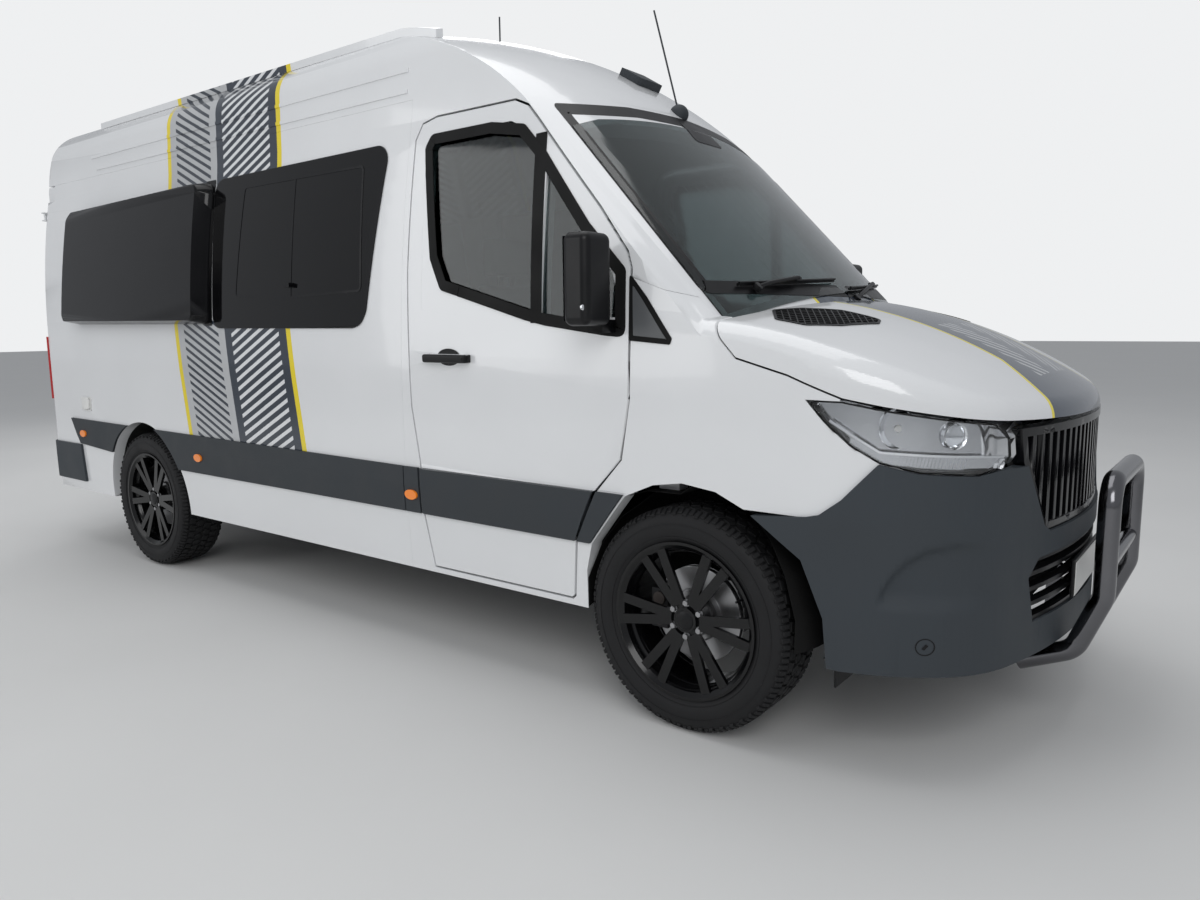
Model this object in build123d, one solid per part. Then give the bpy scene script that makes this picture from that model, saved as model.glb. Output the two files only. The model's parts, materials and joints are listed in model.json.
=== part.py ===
from build123d import *
from functools import lru_cache
from math import acos, atan2, cos, degrees, radians, sin, sqrt
import os

# Camper van, high roof, medium wheelbase, right-hand drive, in millimetres.
# Everything is drawn with X forward from the front axle, Y to the left and Z up from the ground.
# Each piece is moved along X as it is written, so that the origin is under the middle of the van.

# Overall sizes
WHEELBASE = 3665
FRONT_REACH = 1173  # front axle to the front of the bull bar
REAR_REACH = 4965  # front axle to the back of the rear step
REAR_FACE_X = -4905
CENTRE_SHIFT = (REAR_REACH - FRONT_REACH) / 2
ROOF_Z = 2700
SILL_Z = 355
FLOOR_Z = 600
WHEEL_TRACK = {"front": 1732, "rear": 1716}

# Walls and clearances
WALL = 60  # body sides, doors and roof, outer skin to inner lining
WING_WALL = 5
BONNET_WALL = 22
BUMPER_WALL = 42
GLASS_WALL = 5
GLASS_DEPTH = 12  # a door's pane, in from the outer skin
SEAT_GAP = 0.3  # between a fitted piece and its seat
PANEL_GAP = 0.6  # between fixed neighbouring panels
DOOR_GAP = 8
FRONT_SEAM_GAP = 10
RUNNING_GAP = 0.05  # radial, shaft in bore

# Body section across the van, half widths
SILL_HALF = 972
WAIST_HALF = 992
WAIST_Z = 720
BELT_Z = 1150
GREENHOUSE_MID = (962, 1660)
EAVE = (886, 2200)
SHOULDER_HALF = 838
SHOULDER_R = 200
CROWN_R = 3180
UNDERCUT_Z = 200

# Windscreen and front of the roof, seen from the side
SCREEN_FOOT = (160, 1468)
CAP_START_X = -1750
CAP_R = 1678
CAP_AXIS_Z = ROOF_Z - CAP_R
GLASS_TOP_MARGIN = 4  # from the windscreen's upper edge to the cap

# Nose, seen from above and from the side
NOSE_X = 1035
NOSE_FRONT_R = 2127
NOSE_FRONT_TURN = 18
NOSE_CORNER_R = 411
NOSE_CORNER_TURN = 36
NOSE_BACK_X = -300
NOSE_BOTTOM_Z = 345
BONNET_AXIS = (-60, -302)
BONNET_R = 1784
BONNET_CROWN_R = 5000
BONNET_SHOULDER_R = 90

# Rear corners
REAR_CORNER_R = 95
REAR_ROOF_ARC = ((REAR_FACE_X, 2330), (-4822, 2570), (-4590, 2712))

# Seams
CAB_JOINT_X = -1365
ROOF_SEAM_Z = 2290
REAR_APERTURE_HALF = 888
REAR_DOOR_Z = (528, 2282)

# Wheels
TYRE_R = 387
TYRE_WIDTH = 255
RIM_R = 254
RIM_FLANGE_R = 272
RIM_WIDTH = 228
HUB_BORE_R = 35
SPOKE_PAIRS = 6
SPOKE_SPREAD = 9  # degrees each side of a pair's middle
SPOKE_WIDTH = 34
SPOKE_Y = 84
HUB_FACE_Y = 45
KINGPIN_HALF = 800
KINGPIN_R = 12
ARM_Z = (132, 146)  # suspension arms, up and down from the axle
STEER_CLEAR = (
    (441, 0), (441, 470), (390, 600), (318, 700), (250, 750), (208, 785), (200, 805),
)  # radius about the king pin and height, 5 mm or more outside the steered tyre
REAR_ARCH_R = 455

# Hinges
FRONT_DOOR_HINGE = (-160, 966)
FRONT_DOOR_HINGE_Z = (1010, 1290)
DOOR_ARM_Y = (66, 58)  # inner and outer face of a front door's hinge arm, inwards from its pin
REAR_DOOR_HINGE = (-4926, 905)
REAR_DOOR_HINGE_Z = (800, 1400, 2100)
BONNET_HINGE = (20, 1370)
BONNET_ARM_Y = (694, 716)
BONNET_ARM_DEPTH = 100
BONNET_ARM_REACH = 200
PIN_R = 4
EYE_R = 9
EYE_HALF = 20
HINGE_LUG = (21, 27)  # inner and outer face of a lug, up and down from the hinge's middle

# Panels
WING_SEAM_Z = 800
BONNET_GAP = 6
TRIM_PROUD = 12
TRIM_Z = (604, 796)
POD_DEPTH = 90
POD_WALL = 10
POD_FLARE = 28
POD_TAPER = 12  # degrees
GLASS_FOOT_HALF = 850
GLASS_TOP_HALF = 800
ROOF_RAIL_TOP_Z = 2628
WING_INNER = 870  # where the wings' tops end beside the cowl

# Front end
GRILLE_BARS = 22
GRILLE_HALF = 590
BAR_WIDTH = 20
BULL_BAR_R = 33
BULL_BAR_HALF = 280

# Chassis
RAIL_Y = (380, 460)
RAIL_Z = (450, 560)
RAIL_X = (-4840, 900)
CROSS_X = (-4840, -4100, -3100, -2100, -1200, 850)
SHELF_Z = (1385, 1400)
BULKHEAD_X = -135
BULKHEAD_HALF = 849.7
GEARBOX_BACK_X = -900

# Interior
SEAT_Y = 470
SEAT_HALF = 235
SEAT_BASE_Z = 850
COLUMN_TILT = 58
COLUMN_AT = (-560, -470, 1215)
COLUMN_R = 12
PLATFORM_Z = (960, 985)
MARKERS = ((-1318, 680), (-3030, 690), (-4402, 730))


def screen_top():
    """Where the windscreen's line from its foot touches the circle of the roof's cap."""
    run, rise = SCREEN_FOOT[0] - CAP_START_X, SCREEN_FOOT[1] - CAP_AXIS_Z
    angle = atan2(rise, run) + acos(CAP_R / sqrt(run**2 + rise**2))
    return (CAP_START_X + CAP_R * cos(angle), CAP_AXIS_Z + CAP_R * sin(angle))


SCREEN_TOP = screen_top()


def move_to_frame(shape):
    """Moves a shape from the front axle to the van's own origin."""
    return Pos(CENTRE_SHIFT, 0, 0) * shape


def write(name, shape):
    """Writes one node."""
    export_step(move_to_frame(shape), f"parts/{name}.step")


def box(low, high):
    """A box from its lowest to its highest corner."""
    size = [h - l for l, h in zip(low, high)]
    middle = [(h + l) / 2 for l, h in zip(low, high)]
    return Pos(*middle) * Box(*size)


def side_prism(points, half_width=1500):
    """A polygon seen from the side, x and z, carried right across the van."""
    return extrude(Plane.XZ * make_face(Polyline(*points, close=True)), half_width, both=True)


def on_side(side, y_low=0, y_high=1300):
    """The half space on one side of the van: side is -1 for right, 1 for left."""
    low, high = sorted((side * y_low, side * y_high))
    return box((-5200, low, 0), (1400, high, 3000))


def across(radius, centre, y_low, y_high):
    """A cylinder whose axis runs across the van."""
    middle = (y_low + y_high) / 2
    return Pos(centre[0], middle, centre[1]) * Rot(90, 0, 0) * Cylinder(radius, y_high - y_low)


def upright(radius, x, y, z_low, z_high):
    """A vertical cylinder."""
    return Pos(x, y, (z_low + z_high) / 2) * Cylinder(radius, z_high - z_low)


def group(*shapes):
    """Pieces of one node that don't touch, as one shape."""
    return Compound([solid for shape in shapes for solid in shape.solids()])


def both_sides(shape):
    """A shape and its mirror image across the middle of the van."""
    return shape + mirror(shape, Plane.XZ)


def crown_drop(y, radius):
    """How far a crown of a radius falls at a distance from the middle."""
    return radius - sqrt(radius**2 - y**2)


def section_face(inset, bottom_z=SILL_Z):
    """The body's section across the van, drawn in by inset."""
    slope = (WAIST_HALF - SILL_HALF) / (WAIST_Z - SILL_Z)
    bottom_half = SILL_HALF + slope * (bottom_z - SILL_Z)
    corner = (SHOULDER_HALF, ROOF_Z - crown_drop(SHOULDER_HALF, CROWN_R))
    middle = (SHOULDER_HALF / 2, ROOF_Z - crown_drop(SHOULDER_HALF / 2, CROWN_R))
    edges = [
        Line((0, bottom_z), (bottom_half, bottom_z)),
        Line((bottom_half, bottom_z), (WAIST_HALF, WAIST_Z)),
        Line((WAIST_HALF, WAIST_Z), (WAIST_HALF, BELT_Z)),
        ThreePointArc((WAIST_HALF, BELT_Z), GREENHOUSE_MID, EAVE),
        Line(EAVE, corner),
        ThreePointArc(corner, middle, (0, ROOF_Z)),
        Line((0, ROOF_Z), (0, bottom_z)),
    ]
    half = make_face(Curve() + edges)
    half = fillet(half.vertices().sort_by_distance(corner)[0], SHOULDER_R)
    face = half + mirror(half, Plane.YZ)
    return offset(face, -inset) if inset else face


def section_prism(inset, x_low, x_high, bottom_z=SILL_Z):
    """The section carried along the van."""
    return extrude(Plane.YZ.offset(x_low) * section_face(inset, bottom_z), x_high - x_low)


def crowned_drum(axis, radius, crown_r, half_width=1300):
    """A drum across the van with a crowned rim, for surfaces that curve both ways."""
    edge_r = radius - crown_drop(half_width, crown_r)
    edges = [
        Line((-half_width, 0), (half_width, 0)),
        Line((half_width, 0), (half_width, edge_r)),
        ThreePointArc((half_width, edge_r), (0, radius), (-half_width, edge_r)),
        Line((-half_width, edge_r), (-half_width, 0)),
    ]
    origin = (axis[0], 0, axis[1])
    face = Plane(origin=origin, x_dir=(0, 1, 0), z_dir=(1, 0, 0)) * make_face(Curve() + edges)
    return revolve(face, Axis(origin, (0, 1, 0)), 360)


def screen_plane():
    """The plane of the windscreen's middle line: x across to the left, y up the glass."""
    run = Vector(SCREEN_TOP[0] - SCREEN_FOOT[0], 0, SCREEN_TOP[1] - SCREEN_FOOT[1]).normalized()
    normal = Vector(run.Z, 0, -run.X)
    return Plane(origin=(SCREEN_FOOT[0], 0, SCREEN_FOOT[1]), x_dir=(0, 1, 0), z_dir=normal)


def screen_cylinder(inset):
    """The big cylinder that the windscreen is a piece of."""
    glass = screen_plane()
    centre = glass.origin - glass.z_dir * CROWN_R
    return Plane(origin=centre, z_dir=glass.y_dir) * Cylinder(CROWN_R - inset, 14000)


def tail_prism(inset):
    """The rear face and the roof's rear corner from the side, with rounded corners from above."""
    start, middle, end = REAR_ROOF_ARC
    edges = [
        Line((start[0], 100), start),
        ThreePointArc(start, middle, end),
        Line(end, (600, end[1])),
        Line((600, end[1]), (600, 100)),
        Line((600, 100), (start[0], 100)),
    ]
    side = make_face(Curve() + edges)
    front_x = 700
    outline = RectangleRounded(front_x - REAR_FACE_X, 2 * WAIST_HALF + 2, REAR_CORNER_R)
    plan = Pos((REAR_FACE_X + front_x) / 2, 0) * outline
    if inset:
        side = offset(side, -inset)
        plan = offset(plan, -inset)
    return extrude(Plane.XZ * side, 1500, both=True) & extrude(plan, 3000)


@lru_cache
def upper_body(inset, bottom_z=SILL_Z):
    """The van's body without its nose, as a closed form drawn in by inset."""
    body = section_prism(inset, REAR_FACE_X - 100, 300, bottom_z) & tail_prism(inset)
    reach = 3
    far = (
        CAP_START_X + reach * (SCREEN_TOP[0] - CAP_START_X),
        CAP_AXIS_Z + reach * (SCREEN_TOP[1] - CAP_AXIS_Z),
    )
    axis = (CAP_START_X, CAP_AXIS_Z)
    above = side_prism([axis, far, (far[0], 5000), (axis[0], 5000)])
    ahead = side_prism([axis, far, (far[0], 100), (axis[0], 100)])
    cap = crowned_drum(axis, CAP_R - inset, CROWN_R - inset)
    return body - (above - cap) - (ahead - screen_cylinder(inset))


def nose_plan(inset):
    """The nose from above: front arc, corner arc and wing arc, each tangent to the next."""
    front = JernArc((NOSE_X, 0), (0, 1), NOSE_FRONT_R, NOSE_FRONT_TURN)
    corner = JernArc(front @ 1, front % 1, NOSE_CORNER_R, NOSE_CORNER_TURN)
    left = 90 - NOSE_FRONT_TURN - NOSE_CORNER_TURN
    wing_r = (WAIST_HALF - (corner @ 1).Y) / (1 - cos(radians(left)))
    wing = JernArc(corner @ 1, corner % 1, wing_r, left)
    end = wing @ 1
    rear = NOSE_BACK_X - 100
    back = (rear, end.Y)
    edges = [front, corner, wing, Line(end, back), Line(back, (rear, 0)), Line((rear, 0), (NOSE_X, 0))]
    half = make_face(Curve() + edges)
    face = half + mirror(half, Plane.XZ)
    face = offset(face, -inset) if inset else face
    return face & Pos(NOSE_BACK_X + 1000, 0) * Rectangle(2000, 2600)


@lru_cache
def nose_body(inset):
    """The nose with its bonnet, as a closed form drawn in by inset."""
    plan = extrude(Plane.XY.offset(NOSE_BOTTOM_Z - max(inset, 0)) * nose_plan(inset), 1500)
    block = plan & crowned_drum(BONNET_AXIS, BONNET_R - inset, BONNET_CROWN_R - inset, 1100)
    rim = [
        edge
        for edge in block.edges()
        if edge.center().Z > 900 and edge.center().X > NOSE_BACK_X + 60 and edge.geom_type != GeomType.LINE
    ]
    block = fillet(rim, BONNET_SHOULDER_R - inset)
    return block & section_prism(inset, NOSE_BACK_X - 50, NOSE_X + 100, NOSE_BOTTOM_Z - 150)


os.makedirs("parts", exist_ok=True)

OUTER = upper_body(0)
INNER = upper_body(WALL, UNDERCUT_Z)
GLASS_BED = upper_body(-PANEL_GAP)  # the outer skin as its glass and trim meet it
GLASS_TOP = upper_body(-PANEL_GAP - GLASS_WALL)
TRIM_TOP = upper_body(-PANEL_GAP - TRIM_PROUD)
SKIN = OUTER - INNER
NOSE = nose_body(0)

# Seen from the side: outlines of openings and panels, x and z

FRONT_DOOR = [
    (-1215, 385), (-1262, 620), (-1264, 820), (-1305, 1050), (-1326, 1600), (-1322, 2120), (-1290, 2180),
    (-1210, 2198), (-790, 2198), (-725, 2170), (-672, 2116), (-352, 1769), (-230, 1616), (-211, 1560),
    (-211, 1125), (-246, 920), (-362, 792), (-452, 596), (-470, 395), (-480, 385),
]
DOOR_GLASS = [
    (-1240, 1440), (-1255, 2080), (-1225, 2125), (-800, 2125), (-735, 2095), (-400, 1710), (-282, 1545),
    (-240, 1400), (-830, 1395),
]
DOOR_GLASS_BAR = (-640, -604)  # the upright between the two panes
SLIDING_DOOR = [
    (-2700, 400), (-2700, 2195), (-1410, 2195), (-1410, 400),
]
FRONT_PANE = [
    (-2820, 1375), (-2838, 2118), (-1550, 2130), (-1500, 2110), (-1492, 2060), (-1590, 1440),
    (-1625, 1385), (-1680, 1370),
]
FRONT_PANE_LEFT = [
    (-2620, 1375), (-2630, 2112), (-1560, 2112), (-1500, 2100), (-1500, 1430), (-1540, 1375),
]
REAR_PANE = [(-2850, 1385), (-2868, 2112), (-4330, 2085), (-4400, 2040), (-4440, 1450), (-4400, 1395)]
ARCH = [
    (-404, 200), (-404, 500), (-377, 600), (-225, 792), (-110, 842), (4, 860), (130, 845), (262, 787),
    (430, 671), (500, 500), (522, 200),
]
BONNET_EDGE = [
    (20, 1475), (40, 1425), (87, 1356), (164, 1282), (371, 1225), (537, 1160), (650, 1137), (850, 1102),
    (1100, 1062),
]
LAMP = [
    (430, 1152), (537, 1150), (650, 1127), (900, 1084), (925, 1040), (928, 985), (912, 955), (870, 937),
    (740, 947), (640, 973), (560, 1022), (485, 1090),
]
BUMPER_EDGE = [
    (262, 787), (440, 803), (480, 813), (545, 864), (640, 972), (740, 946), (870, 936), (920, 950),
    (1200, 950),
]

# Seen from the front: outlines, y and z

GRILLE = [
    (-620, 1062), (-600, 960), (-475, 752), (-430, 728), (430, 728), (475, 752), (600, 960), (620, 1062),
]
LOWER_GRILLE = [(-520, 455), (-560, 600), (-500, 655), (500, 655), (560, 600), (520, 455)]
REAR_WINDOW = [(-95, 1420), (-95, 2120), (-760, 2120), (-800, 1420)]


def grown(points, amount):
    """A polygon prism from the side, grown outwards by an amount."""
    face = make_face(Polyline(*points, close=True))
    return extrude(Plane.XZ * offset(face, amount, kind=Kind.INTERSECTION), 1500, both=True)


def rounded(points, amount, radius):
    """A polygon prism from the side, grown and with rounded corners."""
    face = make_face(Polyline(*points, close=True))
    face = offset(offset(face, amount - radius, kind=Kind.INTERSECTION), radius)
    return extrude(Plane.XZ * face, 1500, both=True)


def steer_well():
    """The room the steered front tyres need, around each king pin."""
    points = [(0, 0), *STEER_CLEAR, (0, STEER_CLEAR[-1][1])]
    face = Plane.XZ * make_face(Polyline(*points, close=True))
    return both_sides(Pos(0, KINGPIN_HALF, 0) * revolve(face, Axis.Z, 360))


STEER_WELL = steer_well()
ARCH_CUT = side_prism(ARCH) & both_sides(box((-900, 450, 0), (900, 1300, 1200)))
REAR_WELL = both_sides(across(REAR_ARCH_R, (-WHEELBASE, TYRE_R), 690, 1200))


def hinge_lugs(x, y, heights, low, high):
    """The body's half of a row of upright hinges: a pin between two lugs at each height.

    low and high are the corners, x and y, of the lugs.
    """
    parts = []
    for z in heights:
        parts.append(upright(PIN_R, x, y, z - HINGE_LUG[1], z + HINGE_LUG[1]))
        parts.append(box((*low, z - HINGE_LUG[1]), (*high, z - HINGE_LUG[0])))
        parts.append(box((*low, z + HINGE_LUG[0]), (*high, z + HINGE_LUG[1])))
    return parts


def hinge_arm(x, y, z, runs):
    """A door's half of an upright hinge: an eye on the pin and the boxes of its arm."""
    arm = upright(EYE_R, x, y, z - EYE_HALF, z + EYE_HALF)
    for run in runs:
        arm += run
    return arm - upright(PIN_R + RUNNING_GAP, x, y, z - 60, z + 60)


def side_panel(side):
    """A body side from the cab joint to the rear corner post."""
    region = side_prism([(-5200, 0), (-5200, ROOF_SEAM_Z), (CAB_JOINT_X, ROOF_SEAM_Z), (CAB_JOINT_X, 0)])
    rear = box((-5200, -REAR_APERTURE_HALF, 0), (REAR_FACE_X + WALL + 30, REAR_APERTURE_HALF, 3000))
    panel = (SKIN & region & on_side(side, 600)) - rear - REAR_WELL
    panel -= rounded(REAR_PANE, -40, 50)
    x, y = REAR_DOOR_HINGE
    lugs = hinge_lugs(x, y, REAR_DOOR_HINGE_Z, (x - 8, y - 8), (REAR_FACE_X + 8, y + 20))
    panel += lugs if side > 0 else [mirror(lug, Plane.XZ) for lug in lugs]
    if side > 0:
        return panel - rounded(SLIDING_DOOR, DOOR_GAP, 60)
    inlet = (upper_body(-8) - upper_body(5)) & box((-4390, -1200, 888), (-4300, 0, 948))
    return (panel + inlet) - rounded(FRONT_PANE, -40, 50)


def sliding_door():
    """The left sliding door, with its window opening and its seal on the body."""
    door = SKIN & rounded(SLIDING_DOOR, 0, 60) & on_side(1, 600)
    ring = rounded(SLIDING_DOOR, DOOR_GAP - SEAT_GAP, 60) - rounded(SLIDING_DOOR, -5, 60)
    seal = (upper_body(25) - upper_body(WALL - 10, UNDERCUT_Z)) & ring & on_side(1, 600)
    return (door + seal) - rounded(FRONT_PANE_LEFT, -40, 50)


def roof_region():
    """Where the roof panel ends: level along the body, falling to the windscreen's top corners."""
    return side_prism([
        (-5200, ROOF_SEAM_Z + PANEL_GAP), (CAB_JOINT_X, ROOF_SEAM_Z + PANEL_GAP), (-900, 2262),
        (-680, 2196), (-640, 2170), (-300, 1960), (-300, 3000), (-5200, 3000),
    ])


def screen_outline(margin):
    """The windscreen's outline in its own plane, grown by a margin and carried through the body."""
    run, rise = SCREEN_TOP[0] - SCREEN_FOOT[0], SCREEN_TOP[1] - SCREEN_FOOT[1]
    top = sqrt(run**2 + rise**2) - GLASS_TOP_MARGIN
    half = [(GLASS_FOOT_HALF, -15), (GLASS_TOP_HALF, top - 40), (GLASS_TOP_HALF - 150, top - 8)]
    outline = [(0, 25), *half, (0, top), *[(-y, run) for y, run in reversed(half)]]
    face = offset(make_face(Polyline(*outline, close=True)), margin, kind=Kind.INTERSECTION)
    return extrude(screen_plane() * face, 350, both=True)


def side_of(shape, side):
    """A left piece as it is, or its mirror image for the right."""
    return shape if side > 0 else mirror(shape, Plane.XZ)


def door_cut():
    """The front doors' outline with the gap around it, wider at the front seam."""
    edge = grown(FRONT_DOOR, DOOR_GAP)
    return edge + Pos(FRONT_SEAM_GAP - DOOR_GAP, 0, 0) * edge


def lid_region(gap):
    """The bonnet's region above its shut line, ahead of the cowl, grown by a gap."""
    top = grown(BONNET_EDGE + [(1200, 1062), (1200, 1800), (20, 1800)], gap)
    return top - screen_cylinder(gap - 45)


def bumper_region():
    """The front bumper's region below its top edge, from the side."""
    return side_prism(BUMPER_EDGE + [(1200, 200), (262, 200)])


def below_wing_line(drop):
    """Below the line from the door seam to the windscreen's foot, where the wing's top ends."""
    line = [(700, 1600), (160, 1520), (26, 1452), (-205, 1532), (-600, 1560)]
    return side_prism([(-600, WING_SEAM_Z), (700, WING_SEAM_Z)] + [(x, z - drop) for x, z in line])


def cab_frame():
    """Pillars, sills and windscreen frame of the cab, with the cowl and the shelf behind it."""
    shell = (SKIN & box((CAB_JOINT_X + PANEL_GAP, -1200, 0), (300, 1200, 3000))) - roof_region()
    shell -= below_wing_line(0) & both_sides(box((-600, WING_INNER, WING_SEAM_Z), (700, 1200, 1700)))
    shell -= box((-210, -1200, 0), (900, 1200, WING_SEAM_Z))
    shell -= box((-1300, -WING_INNER, 0), (900, WING_INNER, 1440)) - screen_outline(60)
    shell = shell - door_cut() - ARCH_CUT - STEER_WELL - screen_outline(-30)
    ahead = screen_cylinder(-38)
    width = box((-100, -860, 1250), (400, 860, 1700))
    cowl = ((nose_body(14) - nose_body(40)) & ahead & width) - upper_body(-PANEL_GAP - GLASS_WALL - 1)
    tray = ((nose_body(36) - nose_body(50)) & ahead & width) - upper_body(30, UNDERCUT_Z)
    shelf = box((-140, -856, SHELF_Z[0]), (260, 856, SHELF_Z[1])) & upper_body(30, UNDERCUT_Z)
    x, y = FRONT_DOOR_HINGE
    post = box((-140, 850, 812), (-60, 905, SHELF_Z[1]))
    head = box((-196, 850, 1380), (-60, 984, 1600)) & upper_body(WING_WALL + 3)
    lugs = hinge_lugs(x, y, FRONT_DOOR_HINGE_Z, (x - 12, 890), (-125, y + 6))
    x, z = BONNET_HINGE
    pin = across(PIN_R, (x, z), BONNET_ARM_Y[0] - 8, BONNET_ARM_Y[1] + 24)
    bracket = box((x - 10, BONNET_ARM_Y[1] + 8, z - 8), (x + 6, BONNET_ARM_Y[1] + 20, SHELF_Z[0] + 3))
    low, high = BONNET_ARM_Y
    notch = both_sides(box((92, low - 10, 1300), (300, high + 10, 1600)))
    slot = both_sides(box((92, low - 10, 1300), (300, high + 10, SHELF_Z[0])))
    frame = (shell - slot) + (cowl - notch) + (tray - notch) + shelf + both_sides(post + head)
    for piece in [*lugs, pin, bracket]:
        frame += both_sides(piece)
    return frame


def front_wings():
    """Both front wings, from the door seam to the bumper, up to the windscreen's corner."""
    cab = upper_body(0) & box((-500, -1200, 700), (300, 1200, 1700))
    shell = (NOSE + cab) - nose_body(WING_WALL) - upper_body(WING_WALL, UNDERCUT_Z)
    shell &= box((-500, -1200, WING_SEAM_Z + PANEL_GAP), (1000, 1200, 1700)) & below_wing_line(1)
    shell = shell - door_cut() - lid_region(BONNET_GAP) - grown(LAMP, PANEL_GAP)
    shell = shell - ARCH_CUT - bumper_region()
    shell -= box((530, -1200, 1060), (1200, 1200, 1700))
    shell -= box((200, -640, 0), (1200, 640, 2000))
    shell -= box((-600, -WING_INNER - PANEL_GAP, 0), (200, WING_INNER + PANEL_GAP, 2000))
    return shell


def bonnet():
    """The bonnet, with two cranked hinge arms under its rear corners."""
    lid = (NOSE - nose_body(BONNET_WALL)) & lid_region(0)
    x, z = BONNET_HINGE
    low, high = BONNET_ARM_Y
    front = x + BONNET_ARM_REACH
    bottom = z - BONNET_ARM_DEPTH
    arm = across(EYE_R, (x, z), low - 4, high + 4)
    arm += box((x - 6, low, bottom), (x + 6, high, z))
    arm += box((x - 6, low, bottom), (front + 20, high, bottom + 12))
    arm += box((front, low, bottom), (front + 20, high, z + 60)) & nose_body(8)
    arm -= across(PIN_R + RUNNING_GAP, (x, z), 0, 1000)
    return lid + both_sides(arm)


def headlamps():
    """Both headlamps as closed bodies behind the outline in the nose."""
    region = grown(LAMP, 0) & both_sides(box((0, 350, 0), (1200, 1200, 2000)))
    return ((NOSE - nose_body(70)) & region) - front_outline(GRILLE, PANEL_GAP)


def front_bumper():
    """The front bumper with the openings of both grilles."""
    shell = (nose_body(-12) - nose_body(BUMPER_WALL - 12)) & bumper_region()
    shell = shell - ARCH_CUT - STEER_WELL - grown(LAMP, PANEL_GAP)
    return shell - front_outline(GRILLE, 0) - front_outline(LOWER_GRILLE, 0) - lid_region(BONNET_GAP)


def front_outline(points, amount, x_low=600, x_high=1300):
    """A polygon seen from the front, y and z, grown by an amount and carried along the nose."""
    face = offset(make_face(Polyline(*points, close=True)), amount, kind=Kind.INTERSECTION)
    return extrude(Plane.YZ.offset(x_low) * face, x_high - x_low)


def upper_grille():
    """The grille's rim and its upright bars."""
    inside = front_outline(GRILLE, -20)
    rim = front_outline(GRILLE, -SEAT_GAP) - front_outline(GRILLE, -26)
    rim = (nose_body(-2) - nose_body(46)) & rim
    bars = (nose_body(2) - nose_body(40)) & inside
    pitch = 2 * GRILLE_HALF / GRILLE_BARS
    for index in range(GRILLE_BARS):
        left = pitch * index + BAR_WIDTH / 2 - GRILLE_HALF
        bars -= box((600, left, 740), (1300, left + pitch - BAR_WIDTH, 1050))
    middle = (nose_body(14) - nose_body(34)) & inside & box((600, -640, 890), (1300, 640, 905))
    return (rim + bars + middle) - lid_region(BONNET_GAP)


def lower_grille():
    """The slats of the grille in the bumper."""
    slats = (nose_body(-4) - nose_body(26)) & front_outline(LOWER_GRILLE, -SEAT_GAP)
    inside = front_outline(LOWER_GRILLE, -14)
    for row in range(4):
        low = 470 + 48 * row
        slats -= inside & box((600, -600, low), (1300, 600, low + 34))
    return slats


def bull_bar():
    """The tube hoop in front of the bumper, with its cross tube and feet."""
    front = FRONT_REACH - BULL_BAR_R
    half = BULL_BAR_HALF
    leg = [(900, half, 240), (1065, half, 312), (front, half, 500), (front, half, 868)]
    path = FilletPolyline(*leg, *[(x, -y, z) for x, y, z in reversed(leg)], radius=80)
    hoop = sweep(Plane(origin=path @ 0, z_dir=path % 0) * Circle(BULL_BAR_R), path)
    brace = across(BULL_BAR_R - 9, (front, 600), -half, half)
    foot = box((875, half - 20, 235), (925, half + 20, RAIL_Z[0] - SEAT_GAP))
    return hoop + brace + both_sides(foot)


def front_door(side):
    """A front door: skin, inner box, raised trim strip, handle and hinge arms."""
    skin = (OUTER - upper_body(20)) & grown(FRONT_DOOR, 0)
    lining = (upper_body(16) - INNER) & grown(FRONT_DOOR, -16)
    band = box((-1400, -1200, TRIM_Z[0]), (0, 1200, TRIM_Z[1]))
    strip = (TRIM_TOP - upper_body(6)) & grown(FRONT_DOOR, 0) & band
    bar = box((DOOR_GLASS_BAR[0], -1200, 1390), (DOOR_GLASS_BAR[1], 1200, 2200))
    handle = (upper_body(-24) - upper_body(4)) & box((-1190, -1200, 1234), (-960, 1200, 1266))
    door = (skin + lining + strip) - (grown(DOOR_GLASS, 0) - bar)
    door = (door + handle) & on_side(side, 600)
    x, y = FRONT_DOOR_HINGE
    inner, outer = DOOR_ARM_Y
    for z in FRONT_DOOR_HINGE_Z:
        runs = [
            box((x - 8, y - inner, z - 14), (x + 6, y - 6, z + 14)),
            box((x - 175, y - inner, z - 14), (x + 6, y - outer, z + 14)),
            box((x - 175, y - inner, z - 14), (x - 156, y - 18, z + 14)),
        ]
        door += side_of(hinge_arm(x, y, z, runs), side)
    return door


def door_glass(side):
    """The two panes of a front door."""
    layer = upper_body(GLASS_DEPTH) - upper_body(GLASS_DEPTH + GLASS_WALL)
    panes = layer & grown(DOOR_GLASS, -SEAT_GAP) & on_side(side, 600)
    low, high = DOOR_GLASS_BAR
    return panes - box((low - SEAT_GAP, -1200, 1300), (high + SEAT_GAP, 1200, 2200))


def mirror_unit(side):
    """A door mirror: rounded head and arm."""
    head = Pos(-292, 1101, 1522) * Box(105, 143, 300)
    head = fillet(head.edges(), 28)
    arm = box((-322, 930, 1348), (-262, 1060, 1392)) - upper_body(-SEAT_GAP)
    return side_of(head + arm, side)


def rear_outline(amount):
    """A rear window's outline from behind, on the left, grown by an amount."""
    face = make_face(Polyline(*[(-y, z) for y, z in REAR_WINDOW], close=True))
    return extrude(Plane.YZ.offset(-5200) * offset(face, amount, kind=Kind.INTERSECTION), 600)


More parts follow.
